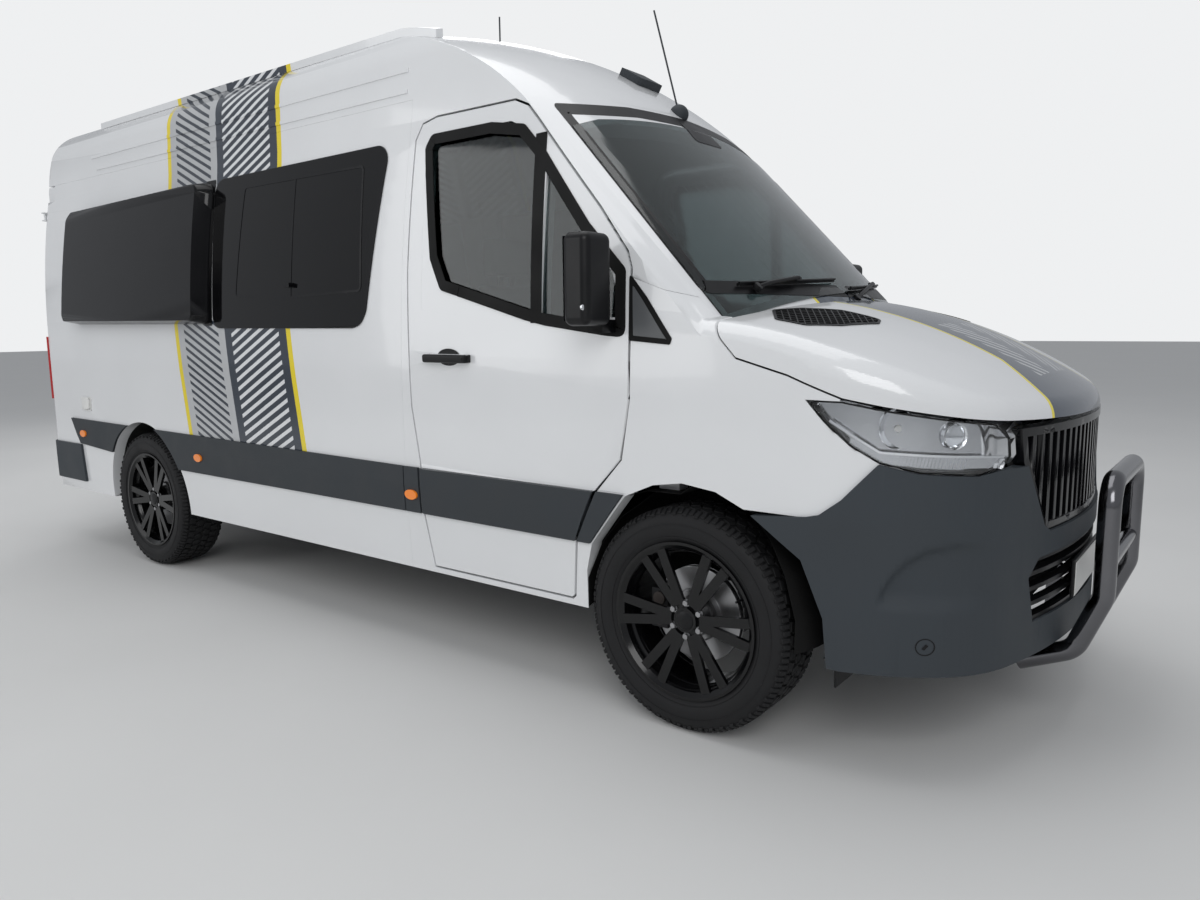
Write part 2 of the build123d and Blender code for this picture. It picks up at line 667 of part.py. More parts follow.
def rear_door(side):
    """A rear door with its window opening and hinge arms."""
    low = (-5200, DOOR_GAP / 2, REAR_DOOR_Z[0])
    high = (REAR_FACE_X + WALL + 30, REAR_APERTURE_HALF - DOOR_GAP, REAR_DOOR_Z[1])
    leaf = (SKIN & box(low, high)) - rear_outline(-40)
    x, y = REAR_DOOR_HINGE
    for z in REAR_DOOR_HINGE_Z:
        runs = [
            box((x - 7, y - 60, z - EYE_HALF), (x + 7, y, z + EYE_HALF)),
            box((x - 7, y - 60, z - EYE_HALF), (REAR_FACE_X + 3, y - 26, z + EYE_HALF)),
        ]
        leaf += hinge_arm(x, y, z, runs)
    return side_of(leaf, side)


def rear_glass(side):
    """The pane of a rear door."""
    return side_of((GLASS_TOP - GLASS_BED) & rear_outline(0), side)


def side_pod(side):
    """A bulged pod over the rear side opening, which makes room for a bed across the van."""
    face = offset(make_face(Polyline(*REAR_PANE, close=True)), -60, kind=Kind.INTERSECTION)
    start = Plane.XZ.offset(-800)
    outer = extrude(start * offset(face, 60 + POD_FLARE), -400, taper=POD_TAPER)
    hollow = extrude(start * offset(face, 60 + POD_FLARE - POD_WALL), -400, taper=POD_TAPER)
    outer &= upper_body(-POD_DEPTH)
    hollow &= upper_body(-POD_DEPTH + POD_WALL)
    return side_of(outer - hollow - upper_body(-PANEL_GAP), side)


def trim_strips():
    """Raised dark strips along the body sides, on the post behind the doors and ahead of the doors."""
    shell = (TRIM_TOP - GLASS_BED) & both_sides(on_side(1, 600))
    low, high = TRIM_Z
    band = [
        (-4570, 820), (-4470, 664), (-4060, 640), (-3250, low), (CAB_JOINT_X - 3, low),
        (CAB_JOINT_X - 3, high), (-4000, 815),
    ]
    seam = (rounded(SLIDING_DOOR, DOOR_GAP, 60) - rounded(SLIDING_DOOR, 0, 60)) & on_side(1, 600)
    strips = (shell & side_prism(band)) - REAR_WELL - seam
    ahead = CAB_JOINT_X + 3
    post = shell & side_prism([(ahead, low), (-1272, low), (-1276, high), (ahead, high)])
    tip = shell & side_prism([(-344, high), (-230, high), (-380, low), (-438, low)])
    return group(strips, post, tip - STEER_WELL)


def side_markers():
    """Amber side markers on the strips."""
    layer = upper_body(-PANEL_GAP - TRIM_PROUD - 9) - upper_body(-PANEL_GAP - TRIM_PROUD - SEAT_GAP)
    lenses = []
    for x, z in MARKERS:
        oval = extrude(Plane.XZ * Pos(x, z) * Ellipse(36, 21), 1500, both=True)
        lenses.append(layer & oval)
    return group(*lenses)


def revolved(points):
    """A ring from its section: distance along the axle, outwards, and radius."""
    section = Plane(origin=(0, 0, 0), x_dir=(0, 1, 0), z_dir=(1, 0, 0))
    return revolve(section * make_face(Polyline(*points, close=True)), Axis.Y, 360)


def tyre():
    """A tyre without its tread, outer face towards +Y."""
    half = TYRE_WIDTH / 2
    bead = RIM_WIDTH / 2 - 4.5
    points = [
        (bead, RIM_R + SEAT_GAP), (bead, RIM_FLANGE_R + 2), (half, 312), (half - 5, 358),
        (half - 16, 377), (half - 34, TYRE_R),
    ]
    return revolved(points + [(-y, r) for y, r in reversed(points)])


def rim():
    """A rim with split spokes in pairs, hub and centre cap, outer face towards +Y."""
    lip = RIM_WIDTH / 2 + 4
    well_r = RIM_R - 14
    seat = RIM_WIDTH / 2 - 4
    wheel = revolved([
        (-lip, RIM_FLANGE_R), (-seat, RIM_FLANGE_R), (-seat, RIM_R), (-70, RIM_R), (-50, well_r),
        (60, well_r), (80, RIM_R), (seat, RIM_R), (seat, RIM_FLANGE_R), (lip, RIM_FLANGE_R), (lip, 262),
        (104, 246), (84, 244), (62, 228), (-50, 228), (-72, 244), (-104, 246), (-lip, 262),
    ])
    wheel += across(72, (0, 0), HUB_FACE_Y, SPOKE_Y)
    for pair in range(SPOKE_PAIRS):
        for lean in (-SPOKE_SPREAD, SPOKE_SPREAD):
            spoke = Pos(0, SPOKE_Y, 0) * Rot(0, 0, 4) * Pos(154, 0, 0) * Box(196, 15, SPOKE_WIDTH)
            wheel += Rot(0, pair * 360 / SPOKE_PAIRS + lean, 0) * spoke
    wheel += across(HUB_BORE_R + 8, (0, 0), SPOKE_Y, SPOKE_Y + 14)
    return wheel - across(HUB_BORE_R + RUNNING_GAP, (0, 0), 0, SPOKE_Y)


def hub_unit():
    """Spindle, hub flange and brake disc in the wheel's own place, outer face towards +Y."""
    spindle = across(HUB_BORE_R, (0, 0), -60, SPOKE_Y - 2)
    return spindle + across(70, (0, 0), -40, HUB_FACE_Y - 1) + across(165, (0, 0), -12, 12)


def knuckle():
    """A front upright with spindle, disc, caliper and king pins, in the wheel's own place."""
    pin_y = KINGPIN_HALF - WHEEL_TRACK["front"] / 2
    block = box((-45, pin_y - 22, 2 - ARM_Z[0]), (45, pin_y + 22, ARM_Z[0] - 2))
    block += box((-45, pin_y, -50), (45, -20, 50))
    caliper = box((-175, -34, -70), (-110, 34, 70)) + box((-120, -60, -30), (-20, -30, 30))
    pins = upright(KINGPIN_R, 0, pin_y, -ARM_Z[1] - 12, ARM_Z[1] + 12)
    return hub_unit() + block + caliper + pins


def place_wheel(shape, axle, side):
    """Moves a wheel piece from its own place to its axle and side."""
    x = 0 if axle == "front" else -WHEELBASE
    return Pos(x, side * WHEEL_TRACK[axle] / 2, TYRE_R) * side_of(shape, side)


def front_suspension():
    """Cross member under the engine, with an upper and a lower arm on both sides."""
    member = box((-70, -470, 290), (70, 470, 350))
    side = box((-60, RAIL_Y[0] + 4, 340), (60, RAIL_Y[1] - 4, RAIL_Z[0] - SEAT_GAP))
    side += box((-30, RAIL_Y[1] + 1, TYRE_R - ARM_Z[1]), (30, 490, TYRE_R + ARM_Z[1]))
    for low, high in ((-ARM_Z[1], -ARM_Z[0]), ARM_Z):
        arm = upright(30, 0, KINGPIN_HALF, TYRE_R + low, TYRE_R + high)
        arm += box((-22, 470, TYRE_R + low), (22, KINGPIN_HALF - 20, TYRE_R + high))
        side += arm - upright(KINGPIN_R + RUNNING_GAP, 0, KINGPIN_HALF, 0, 900)
    return member + both_sides(side)


def rear_axle():
    """Beam axle with its differential, hubs, leaf springs and propeller shaft."""
    half = WHEEL_TRACK["rear"] / 2 - 50
    axle = across(52, (-WHEELBASE, TYRE_R), -half, half) + Pos(-WHEELBASE, 0, TYRE_R) * Sphere(135)
    front = GEARBOX_BACK_X - SEAT_GAP
    length = front + WHEELBASE
    axle += Pos(front - length / 2, 0, TYRE_R) * Rot(0, 90, 0) * Cylinder(36, length)
    spring = box((-4330, 500, 452), (-3000, 570, 480)) + box((-3740, 500, 400), (-3590, 570, 460))
    for x in (-4330, -3050):
        spring += box((x, 500, 470), (x + 50, 570, RAIL_Z[1] - SEAT_GAP))
    axle += both_sides(spring)
    for side in (-1, 1):
        axle += place_wheel(hub_unit(), "rear", side)
    return axle


def rear_inside():
    """The room between the floor's underside and the tops of the rear wheel housings."""
    inside = upper_body(WALL + SEAT_GAP, UNDERCUT_Z)
    return inside & box((RAIL_X[0], -1000, RAIL_Z[1]), (CAB_JOINT_X, 1000, 1000))


def rear_drums(amount):
    """Drums around the rear wheels as seen from inside the van, grown by an amount."""
    return both_sides(across(REAR_ARCH_R + 20 + amount, (-WHEELBASE, TYRE_R), 670 - amount, 1000))


def floor_pan():
    """Floor with seat boxes and a stepped bulkhead, open over the rear wheels."""
    low, high = RAIL_Z[1], FLOOR_Z
    cab = upper_body(WALL + 6, UNDERCUT_Z) & box((CAB_JOINT_X, -1000, low), (-450, 1000, high))
    pan = (rear_inside() & box((-5200, -1200, low), (0, 1200, high))) - rear_drums(SEAT_GAP)
    pan += cab
    pan += box((-470, -840, high - 5), (-450, 840, 830))
    pan += box((-470, -840, 810), (BULKHEAD_X + 20, 840, 830))
    pan += box((BULKHEAD_X, -BULKHEAD_HALF, 810), (BULKHEAD_X + 20, BULKHEAD_HALF, SHELF_Z[0] - SEAT_GAP))
    pan += both_sides(box((-1130, SEAT_Y - SEAT_HALF, high - 5), (-720, SEAT_Y + SEAT_HALF, SEAT_BASE_Z)))
    return pan - STEER_WELL


def wheel_housings():
    """Housings over the rear wheels, in the floor's cut-outs."""
    return (rear_inside() & rear_drums(0)) - REAR_WELL


def chassis():
    """Chassis rails with their cross members, and the carrier ahead of the radiator."""
    top = RAIL_Z[1] - SEAT_GAP
    frame = both_sides(box((RAIL_X[0], RAIL_Y[0], RAIL_Z[0]), (RAIL_X[1], RAIL_Y[1], top)))
    for x in CROSS_X:
        frame += box((x, -RAIL_Y[0], RAIL_Z[0] + 30), (x + 50, RAIL_Y[0], top))
    return frame + box((860, -600, RAIL_Z[0]), (RAIL_X[1], 600, top))


def engine():
    """Engine and gearbox as one plain block on its feet, and the radiator block."""
    block = box((40, -300, 460), (720, 300, 1130)) + box((GEARBOX_BACK_X, -130, 352), (60, 130, 540))
    foot = box((300, 290, 470), (400, RAIL_Y[0] - SEAT_GAP, 540))
    radiator = box((862, -420, RAIL_Z[1] + 1 + SEAT_GAP), (898, 420, 1035))
    return group(block + both_sides(foot), radiator)


def exhaust():
    """Exhaust pipe with its silencer and hanger."""
    points = [
        (-500, 250, 400), (-1500, 250, 380), (-3100, 250, 380), (-3400, 300, 500), (-3740, 300, 500),
        (-4000, 300, 380), (-4820, 300, 370),
    ]
    path = FilletPolyline(*points, radius=60)
    pipe = sweep(Plane(origin=path @ 0, z_dir=path % 0) * Circle(27), path)
    silencer = Pos(-2300, 250, 380) * Rot(0, 90, 0) * Cylinder(80, 620)
    return pipe + silencer + box((-2440, 240, 440), (-2410, 260, RAIL_Z[1] - SEAT_GAP))


def fuel_tank():
    """The tank under the right side of the floor."""
    tank = box((-2900, -880, 330), (-1750, -500, RAIL_Z[1] - SEAT_GAP))
    return fillet(tank.edges().group_by(Axis.Z)[0], 40)


def front_seats():
    """The two front seats as closed cushions."""
    base = SEAT_BASE_Z + SEAT_GAP
    profile = [
        (-700, 890), (-690, 1000), (-1090, 985), (-1190, 1560), (-1300, 1560), (-1235, 880),
        (-1120, base), (-730, base),
    ]
    cushion = extrude(Plane.XZ * make_face(Polyline(*profile, close=True)), SEAT_HALF, both=True)
    cushion += box((-1290, -130, 1550), (-1200, 130, 1760))
    return group(*[Pos(0, side * SEAT_Y, 0) * cushion for side in (-1, 1)])


def column():
    """The place of the steering column: Z along it, towards the driver."""
    return Pos(*COLUMN_AT) * Rot(0, -COLUMN_TILT, 0)


def dashboard():
    """The dashboard across the cab, with the steering column and its bore."""
    back = BULKHEAD_X - SEAT_GAP
    profile = [
        (back, 900), (back, 1383), (-230, 1395), (-420, 1370), (-520, 1290), (-500, 1050), (-400, 900),
    ]
    body = extrude(Plane.XZ * make_face(Polyline(*profile, close=True)), 835, both=True)
    body += column() * Pos(0, 0, -60) * Cylinder(34, 160)
    return body - column() * Cylinder(COLUMN_R + RUNNING_GAP, 600)


def steering_wheel():
    """Rim, spokes, boss and shaft of the steering wheel."""
    wheel = column() * Pos(0, 0, 50) * Cylinder(60, 40)
    wheel += column() * Pos(0, 0, -80) * Cylinder(COLUMN_R, 260)
    wheel += column() * Pos(0, 0, 60) * Torus(190, 15)
    for angle in (90, 180, 270):
        wheel += column() * Pos(0, 0, 55) * Rot(0, 0, angle) * Pos(118, 0, 0) * Box(134, 34, 14)
    return wheel


def wipers():
    """Two wiper blades on the windscreen."""
    layer = upper_body(-26) - upper_body(-PANEL_GAP - GLASS_WALL - SEAT_GAP)
    blades = []
    for foot, tip in (((-690, 55), (-60, 80)), ((60, 55), (690, 70))):
        run = sqrt((tip[0] - foot[0]) ** 2 + (tip[1] - foot[1]) ** 2)
        angle = degrees(atan2(tip[1] - foot[1], tip[0] - foot[0]))
        strip = Pos((foot[0] + tip[0]) / 2, (foot[1] + tip[1]) / 2) * Rot(0, 0, angle) * Rectangle(run, 16)
        blade = layer & extrude(screen_plane() * strip, 300, both=True)
        blades.append(blade & box((-500, -900, 1300), (400, 900, 1800)))
    return group(*blades)


def roof_rails():
    """Rails along the roof's edges, with flat tops for a rack's feet."""
    shell = upper_body(-34) - upper_body(-SEAT_GAP)
    return shell & both_sides(box((-4350, 730, 2400), (-1330, 768, ROOF_RAIL_TOP_Z)))


def roof_z(x):
    """Height of the roof's middle line over the cab."""
    return CAP_AXIS_Z + sqrt(CAP_R**2 - max(x - CAP_START_X, 0) ** 2)


def roof_fittings():
    """Two aerials and a small closed box along the middle of the roof."""
    skin = upper_body(-SEAT_GAP)
    x = -640
    rod = Pos(x - 67, 0, roof_z(x) + 235) * Rot(0, -16, 0) * Cylinder(4, 460)
    front = Pos(x, 0, roof_z(x)) * Sphere(42) + rod
    x = -1700
    back = Pos(x, 0, roof_z(x)) * Sphere(36) + upright(4, x, 0, roof_z(x), 2900)
    x = -885
    case = Pos(x, 50, roof_z(x)) * Rot(0, 31, 0) * Box(120, 170, 64)
    return group(*[shape - skin for shape in (front, back, case)])


def furniture():
    """Bed platform on two cross frames, and the kitchen unit."""
    inside = upper_body(WALL + SEAT_GAP, UNDERCUT_Z)
    platform = inside & box((-4780, -1000, PLATFORM_Z[0]), (-3380, 1000, PLATFORM_Z[1]))
    for x in (-4760, -3420):
        platform += box((x, -640, FLOOR_Z + SEAT_GAP), (x + 20, 640, PLATFORM_Z[0] + 1))
    unit = inside & box((-2750, -1000, FLOOR_Z + SEAT_GAP), (-1450, -470, 1330))
    return group(platform, unit)


def mattress():
    """The mattress across the van."""
    low = PLATFORM_Z[1] + SEAT_GAP
    return upper_body(WALL + 6, UNDERCUT_Z) & box((-4770, -1000, low), (-3400, 1000, low + 125))


def tail_lamps():
    """Lamps on the rear corner posts."""
    shell = upper_body(-12) - upper_body(-SEAT_GAP)
    return shell & both_sides(box((-5200, 935, 930), (-4850, 1200, 1330)))


def rear_bumper():
    """Rear bumper round the corners, with its step."""
    low, top, sill = 415, 655, REAR_DOOR_Z[0] - 15
    inner = REAR_APERTURE_HALF - 1
    wrap = (upper_body(-14) - upper_body(-SEAT_GAP)) & box((-5200, -1200, low), (-4470, 1200, top))
    wrap -= box((-5200, -REAR_APERTURE_HALF, sill), (-4400, REAR_APERTURE_HALF, top + 1))
    centre = (upper_body(-14) - INNER) & box((-5200, -inner, low), (REAR_FACE_X + WALL, inner, sill))
    return wrap + centre + box((-REAR_REACH, -700, 430), (REAR_FACE_X, 700, 490))


def side_windows():
    """The front pane of each side behind the cab."""
    shell = GLASS_TOP - GLASS_BED
    right = shell & rounded(FRONT_PANE, 0, 70) & on_side(-1, 600)
    left = shell & rounded(FRONT_PANE_LEFT, 0, 70) & on_side(1, 600)
    return group(right, left)


def windscreen():
    """The windscreen."""
    return (GLASS_TOP - GLASS_BED) & screen_outline(0) & box((-900, -1000, 1300), (400, 1000, 2400))


def roof_shell():
    """The high roof down to its seam with the sides, and forward to the windscreen."""
    return (SKIN & roof_region()) - screen_outline(-30)


SINGLE_NODES = {
    "sliding_door": sliding_door,
    "roof_shell": roof_shell,
    "cab_frame": cab_frame,
    "front_wings": front_wings,
    "bonnet": bonnet,
    "headlamps": headlamps,
    "front_bumper": front_bumper,
    "upper_grille": upper_grille,
    "lower_grille": lower_grille,
    "bull_bar": bull_bar,
    "windscreen": windscreen,
    "side_windows": side_windows,
    "trim_strips": trim_strips,
    "side_markers": side_markers,
    "tail_lamps": tail_lamps,
    "rear_bumper": rear_bumper,
    "front_suspension": front_suspension,
    "rear_axle": rear_axle,
    "floor_pan": floor_pan,
    "wheel_housings": wheel_housings,
    "chassis": chassis,
    "engine": engine,
    "exhaust": exhaust,
    "fuel_tank": fuel_tank,
    "front_seats": front_seats,
    "dashboard": dashboard,
    "steering_wheel": steering_wheel,
    "wipers": wipers,
    "roof_rails": roof_rails,
    "roof_fittings": roof_fittings,
    "furniture": furniture,
    "mattress": mattress,
}
SIDED_NODES = {
    "side_panel": side_panel,
    "side_pod": side_pod,
    "front_door": front_door,
    "door_glass": door_glass,
    "mirror": mirror_unit,
    "rear_door": rear_door,
    "rear_glass": rear_glass,
}

for name, form in SINGLE_NODES.items():
    write(name, form())
for side, word in ((-1, "right"), (1, "left")):
    for name, form in SIDED_NODES.items():
        write(f"{name}_{word}", form(side))
    write(f"knuckle_{word}", place_wheel(knuckle(), "front", side))
    for axle in ("front", "rear"):
        write(f"tyre_{axle}_{word}", place_wheel(tyre(), axle, side))
        write(f"rim_{axle}_{word}", place_wheel(rim(), axle, side))
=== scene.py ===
import json
import logging
import math
from dataclasses import dataclass
from enum import Enum
from typing import Callable, Iterable, Optional, Sequence

import bmesh
import bpy
from mathutils import Matrix, Vector
from mathutils.bvhtree import BVHTree

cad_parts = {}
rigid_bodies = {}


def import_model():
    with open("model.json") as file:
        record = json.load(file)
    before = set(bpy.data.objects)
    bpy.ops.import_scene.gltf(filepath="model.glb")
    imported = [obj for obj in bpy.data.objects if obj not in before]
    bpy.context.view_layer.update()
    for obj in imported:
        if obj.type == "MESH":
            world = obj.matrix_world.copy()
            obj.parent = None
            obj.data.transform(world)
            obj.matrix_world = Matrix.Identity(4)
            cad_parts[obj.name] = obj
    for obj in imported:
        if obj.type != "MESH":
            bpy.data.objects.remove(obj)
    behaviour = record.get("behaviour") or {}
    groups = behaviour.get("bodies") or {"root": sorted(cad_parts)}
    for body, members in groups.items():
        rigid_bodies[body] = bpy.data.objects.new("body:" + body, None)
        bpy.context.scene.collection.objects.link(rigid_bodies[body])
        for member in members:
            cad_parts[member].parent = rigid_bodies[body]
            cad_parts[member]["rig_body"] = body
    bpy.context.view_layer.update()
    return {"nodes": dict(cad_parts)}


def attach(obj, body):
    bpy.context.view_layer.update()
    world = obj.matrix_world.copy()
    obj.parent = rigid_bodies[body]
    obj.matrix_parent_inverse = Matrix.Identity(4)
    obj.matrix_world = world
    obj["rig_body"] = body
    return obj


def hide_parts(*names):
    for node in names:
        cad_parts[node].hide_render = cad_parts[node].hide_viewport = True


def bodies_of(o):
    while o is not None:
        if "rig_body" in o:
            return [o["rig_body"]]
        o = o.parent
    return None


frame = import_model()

LOG = logging.getLogger("camper_van")
Colour = tuple[float, float, float]
Flat = tuple[float, float]

AXLE_X = 1.896  # the front axle, from the frame's origin
WHEELBASE = 3.665
WHITE = (0.80, 0.81, 0.82)
YELLOW = (0.86, 0.68, 0.01)
PALE_GREY = (0.50, 0.51, 0.52)
NAVY = (0.018, 0.028, 0.045)
TRIM_GREY = (0.030, 0.036, 0.042)
BAND_LEAN = -0.16  # how far the painted bands lean back per metre of height
WAIST = (0.80, 1.42)  # the heights of the bands' lower and upper runs
CANT = (2.08, 2.75)
BAR_SHARE = 0.42  # the painted part of each bar's pitch
BAND_MARGIN = 0.06
BONNET_LOW = 1.06
RAY_START = 2.0  # how far back each ray starts
WELD = 1e-5  # vertices this close become one
FINE_WELD = 1e-6
SIDE_SHARE = 0.45  # the most of a side that a rounded corner takes up
SHARPEST = 0.3  # keeps the corners of a drawn-in outline from running away
SOFT_ANGLE = math.radians(40.0)  # edges sharper than this are softened
NOISE_RANGE = (0.3, 0.7)  # where most of a noise texture's values lie
COAT_ROUGHNESS = 0.04
MAT_SPREAD = (0.85, 1.2)  # how far the roughness wanders


def side_name(side: int) -> str:
    """Names a side: -1 is the right, 1 the left."""
    return "right" if side < 0 else "left"


def at(x: float, y: float, z: float) -> Vector:
    """Places a point whose X is given from the front axle."""
    return Vector((x + AXLE_X, y, z))


class Gloss(Enum):
    """How polished a surface is, as its roughness."""

    MIRROR = 0.05
    GLOSSY = 0.16
    SATIN = 0.34
    MATTE = 0.62
    ROUGH = 0.88


@dataclass(frozen=True)
class Band:
    """A painted stripe across the body, between two slanted edges.

    low and high are the edges' X one metre up; the bars inside it have a pitch and a slope.
    """

    low: float
    high: float
    heights: Flat
    colour: Colour
    bars: float
    bar_colour: Colour
    bar_slope: float


class Shader:
    """A node material under construction, with short ways to add its nodes."""

    def __init__(self, name: str) -> None:
        """Starts a material with a plain surface.

        Args:
            name: The material's name.
        """
        self.material = bpy.data.materials.new(name)
        self.material.use_nodes = True
        self.tree = self.material.node_tree
        self.tree.nodes.clear()
        self.surface = self.add("BsdfPrincipled")
        self.add("OutputMaterial", self.surface.outputs[0])
        self.place = self.add("TexCoord").outputs["Object"]
        self.x, self.y, self.z = self.add("SeparateXYZ", self.place).outputs

    def put(self, socket, value) -> None:
        """Links a socket, or sets a plain value.

        Args:
            socket: The input to fill.
            value: An output socket, a number or a colour.
        """
        if isinstance(value, bpy.types.NodeSocket):
            self.tree.links.new(value, socket)
        else:
            socket.default_value = (*value, 1.0) if socket.type == "RGBA" else value

    def add(self, kind: str, *values, named: Optional[dict] = None, **settings) -> bpy.types.Node:
        """Adds a node.

        Args:
            kind: Its type, without the word ShaderNode.
            values: Its first inputs, in order.
            named: Other inputs by name.
            settings: Its properties.

        Returns:
            The node.
        """
        node = self.tree.nodes.new("ShaderNode" + kind)
        for key, value in settings.items():
            setattr(node, key, value)
        for socket, value in zip(node.inputs, values):
            self.put(socket, value)
        for key, value in (named or {}).items():
            self.put(node.inputs[key], value)
        return node

    def math(self, operation: str, *values):
        """Adds a Math node and gives its result's socket."""
        return self.add("Math", *values, operation=operation).outputs[0]

    def times(self, *values):
        """Multiplies two values or masks."""
        return self.math("MULTIPLY", *values)

    def mix(self, factor, first, second):
        """Mixes two colours and gives the result's socket; a factor of 1 gives the second."""
        node = self.add("Mix", factor, data_type="RGBA")
        self.put(node.inputs[6], first)
        self.put(node.inputs[7], second)
        return node.outputs[2]

    def noise(self, scale: float, detail: float, stretch: Optional[Sequence[float]] = None):
        """Adds a noise texture on the object's own coordinates.

        Args:
            scale: Its scale.
            detail: Its octaves.
            stretch: Scale along each axis, if it isn't even.

        Returns:
            The noise value's socket.
        """
        source = self.add("Mapping", self.place, named={"Scale": stretch}).outputs[0] if stretch else self.place
        return self.add("TexNoise", source, named={"Scale": scale, "Detail": detail}).outputs[0]

    def remap(self, value, low: float, high: float):
        """Maps the noise's usual range onto another and gives the result's socket."""
        return self.add("MapRange", value, *NOISE_RANGE, low, high).outputs[0]

    def between(self, value, low, high):
        """Gives a mask that is 1 where a value lies between two limits."""
        return self.times(self.math("GREATER_THAN", value, low), self.math("LESS_THAN", value, high))

    def bars(self, value, pitch: float):
        """Gives a mask of even bars along a value."""
        return self.math("LESS_THAN", self.math("FRACT", self.times(value, 1.0 / pitch)), BAR_SHARE)


@dataclass(frozen=True)
class Finish:
    """A procedural finish: a colour that varies a little, a roughness and a fine grain."""

    name: str
    colour: Colour
    gloss: Gloss = Gloss.SATIN
    metal: float = 0.0
    coat: float = 0.0
    vary: float = 0.12
    grain: float = 320.0
    grain_depth: float = 0.0002
    grain_strength: float = 0.15
    wear: float = 5.0
    stretch: Optional[tuple[float, float, float]] = None
    glow: float = 0.0
    clear: float = 0.0
    shine: float = 0.5

    def colours(self, shader: Shader):
        """Gives the colour, or its socket in the shader, before it varies."""
        return self.colour

    def build(self) -> bpy.types.Material:
        """Builds the material.

        Returns:
            The node material.
        """
        shader = Shader(self.name)
        wide = shader.noise(self.wear, 6.0)
        shade = shader.remap(wide, 1.0 - self.vary, 1.0 + self.vary * 0.5)
        tone = shader.add("VectorMath", self.colours(shader), named={"Scale": shade}, operation="SCALE").outputs[0]
        smoothest, roughest = (self.gloss.value * share for share in MAT_SPREAD)
        fine = shader.noise(self.grain, 3.0, self.stretch)
        bump = shader.add(
            "Bump", named={"Strength": self.grain_strength, "Distance": self.grain_depth, "Height": fine}
        )
        values = {
            "Base Color": tone, "Roughness": shader.remap(wide, smoothest, min(roughest, 1.0)),
            "Metallic": self.metal, "Specular IOR Level": self.shine, "Coat Weight": self.coat,
            "Coat Roughness": COAT_ROUGHNESS, "Transmission Weight": self.clear, "Normal": bump.outputs[0],
        }
        if self.glow:
            values.update({"Emission Color": tone, "Emission Strength": self.glow})
        for key, value in values.items():
            shader.put(shader.surface.inputs[key], value)
        return shader.material


@dataclass(frozen=True)
class Livery(Finish):
    """White body paint with slanted bands, stripes on the bonnet or a dark strip low on the doors."""

    bands: tuple[Band, ...] = ()
    hood_half: float = 0.29
    hood_flare: Flat = (2.70, 0.68)
    hood_line: float = 0.020
    hood_bars: tuple[float, float, float] = (2.46, 2.80, 0.055)
    hood_bars_half: Flat = (0.05, 0.20)
    hood_x: Flat = (1.95, 2.95)
    hood_colour: Colour = (0.03, 0.045, 0.07)
    line_colour: Colour = (0.9, 0.75, 0.02)
    strip_z: Optional[Flat] = None
    strip_out: float = 0.955

    def band(self, shader: Shader, colour, band: Band):
        """Lays one band over a colour.

        Args:
            shader: The material under construction.
            colour: What it is laid over.
            band: The band.

        Returns:
            The new colour's socket.
        """
        lifted = shader.math("SUBTRACT", shader.z, 1.0)
        along = shader.math("SUBTRACT", shader.x, shader.times(lifted, BAND_LEAN))
        mask = shader.times(shader.between(along, band.low, band.high), shader.between(shader.z, *band.heights))
        fill = band.colour
        if band.bars:
            slanted = shader.math("ADD", along, shader.times(lifted, band.bar_slope))
            inner = shader.between(along, band.low + BAND_MARGIN, band.high - BAND_MARGIN)
            fill = shader.mix(shader.times(shader.bars(slanted, band.bars), inner), fill, band.bar_colour)
        return shader.mix(mask, colour, fill)

    def colours(self, shader: Shader):
        """Lays the bands, the bonnet's stripes and the doors' strip over the white.

        Args:
            shader: The material under construction.

        Returns:
            The colour's socket.
        """
        colour = self.colour
        for band in self.bands:
            colour = self.band(shader, colour, band)
        side = shader.math("ABSOLUTE", shader.y)
        ahead = shader.math("MAXIMUM", shader.math("SUBTRACT", shader.x, self.hood_flare[0]), 0.0)
        half = shader.math("ADD", shader.times(ahead, self.hood_flare[1]), self.hood_half)
        on_hood = shader.between(shader.x, *self.hood_x)
        on_hood = shader.times(on_hood, shader.math("GREATER_THAN", shader.z, BONNET_LOW))
        stripe = shader.times(on_hood, shader.math("LESS_THAN", side, half))
        low, high, pitch = self.hood_bars
        place = shader.times(shader.between(shader.x, low, high), shader.between(side, *self.hood_bars_half))
        bars = shader.times(place, shader.bars(shader.math("ADD", shader.x, side), pitch))
        colour = shader.mix(stripe, colour, shader.mix(bars, self.hood_colour, PALE_GREY))
        edge = shader.between(side, half, shader.math("ADD", half, self.hood_line))
        colour = shader.mix(shader.times(on_hood, edge), colour, self.line_colour)
        if self.strip_z:
            outer = shader.math("GREATER_THAN", side, self.strip_out)
            colour = shader.mix(shader.times(outer, shader.between(shader.z, *self.strip_z)), colour, TRIM_GREY)
        return colour


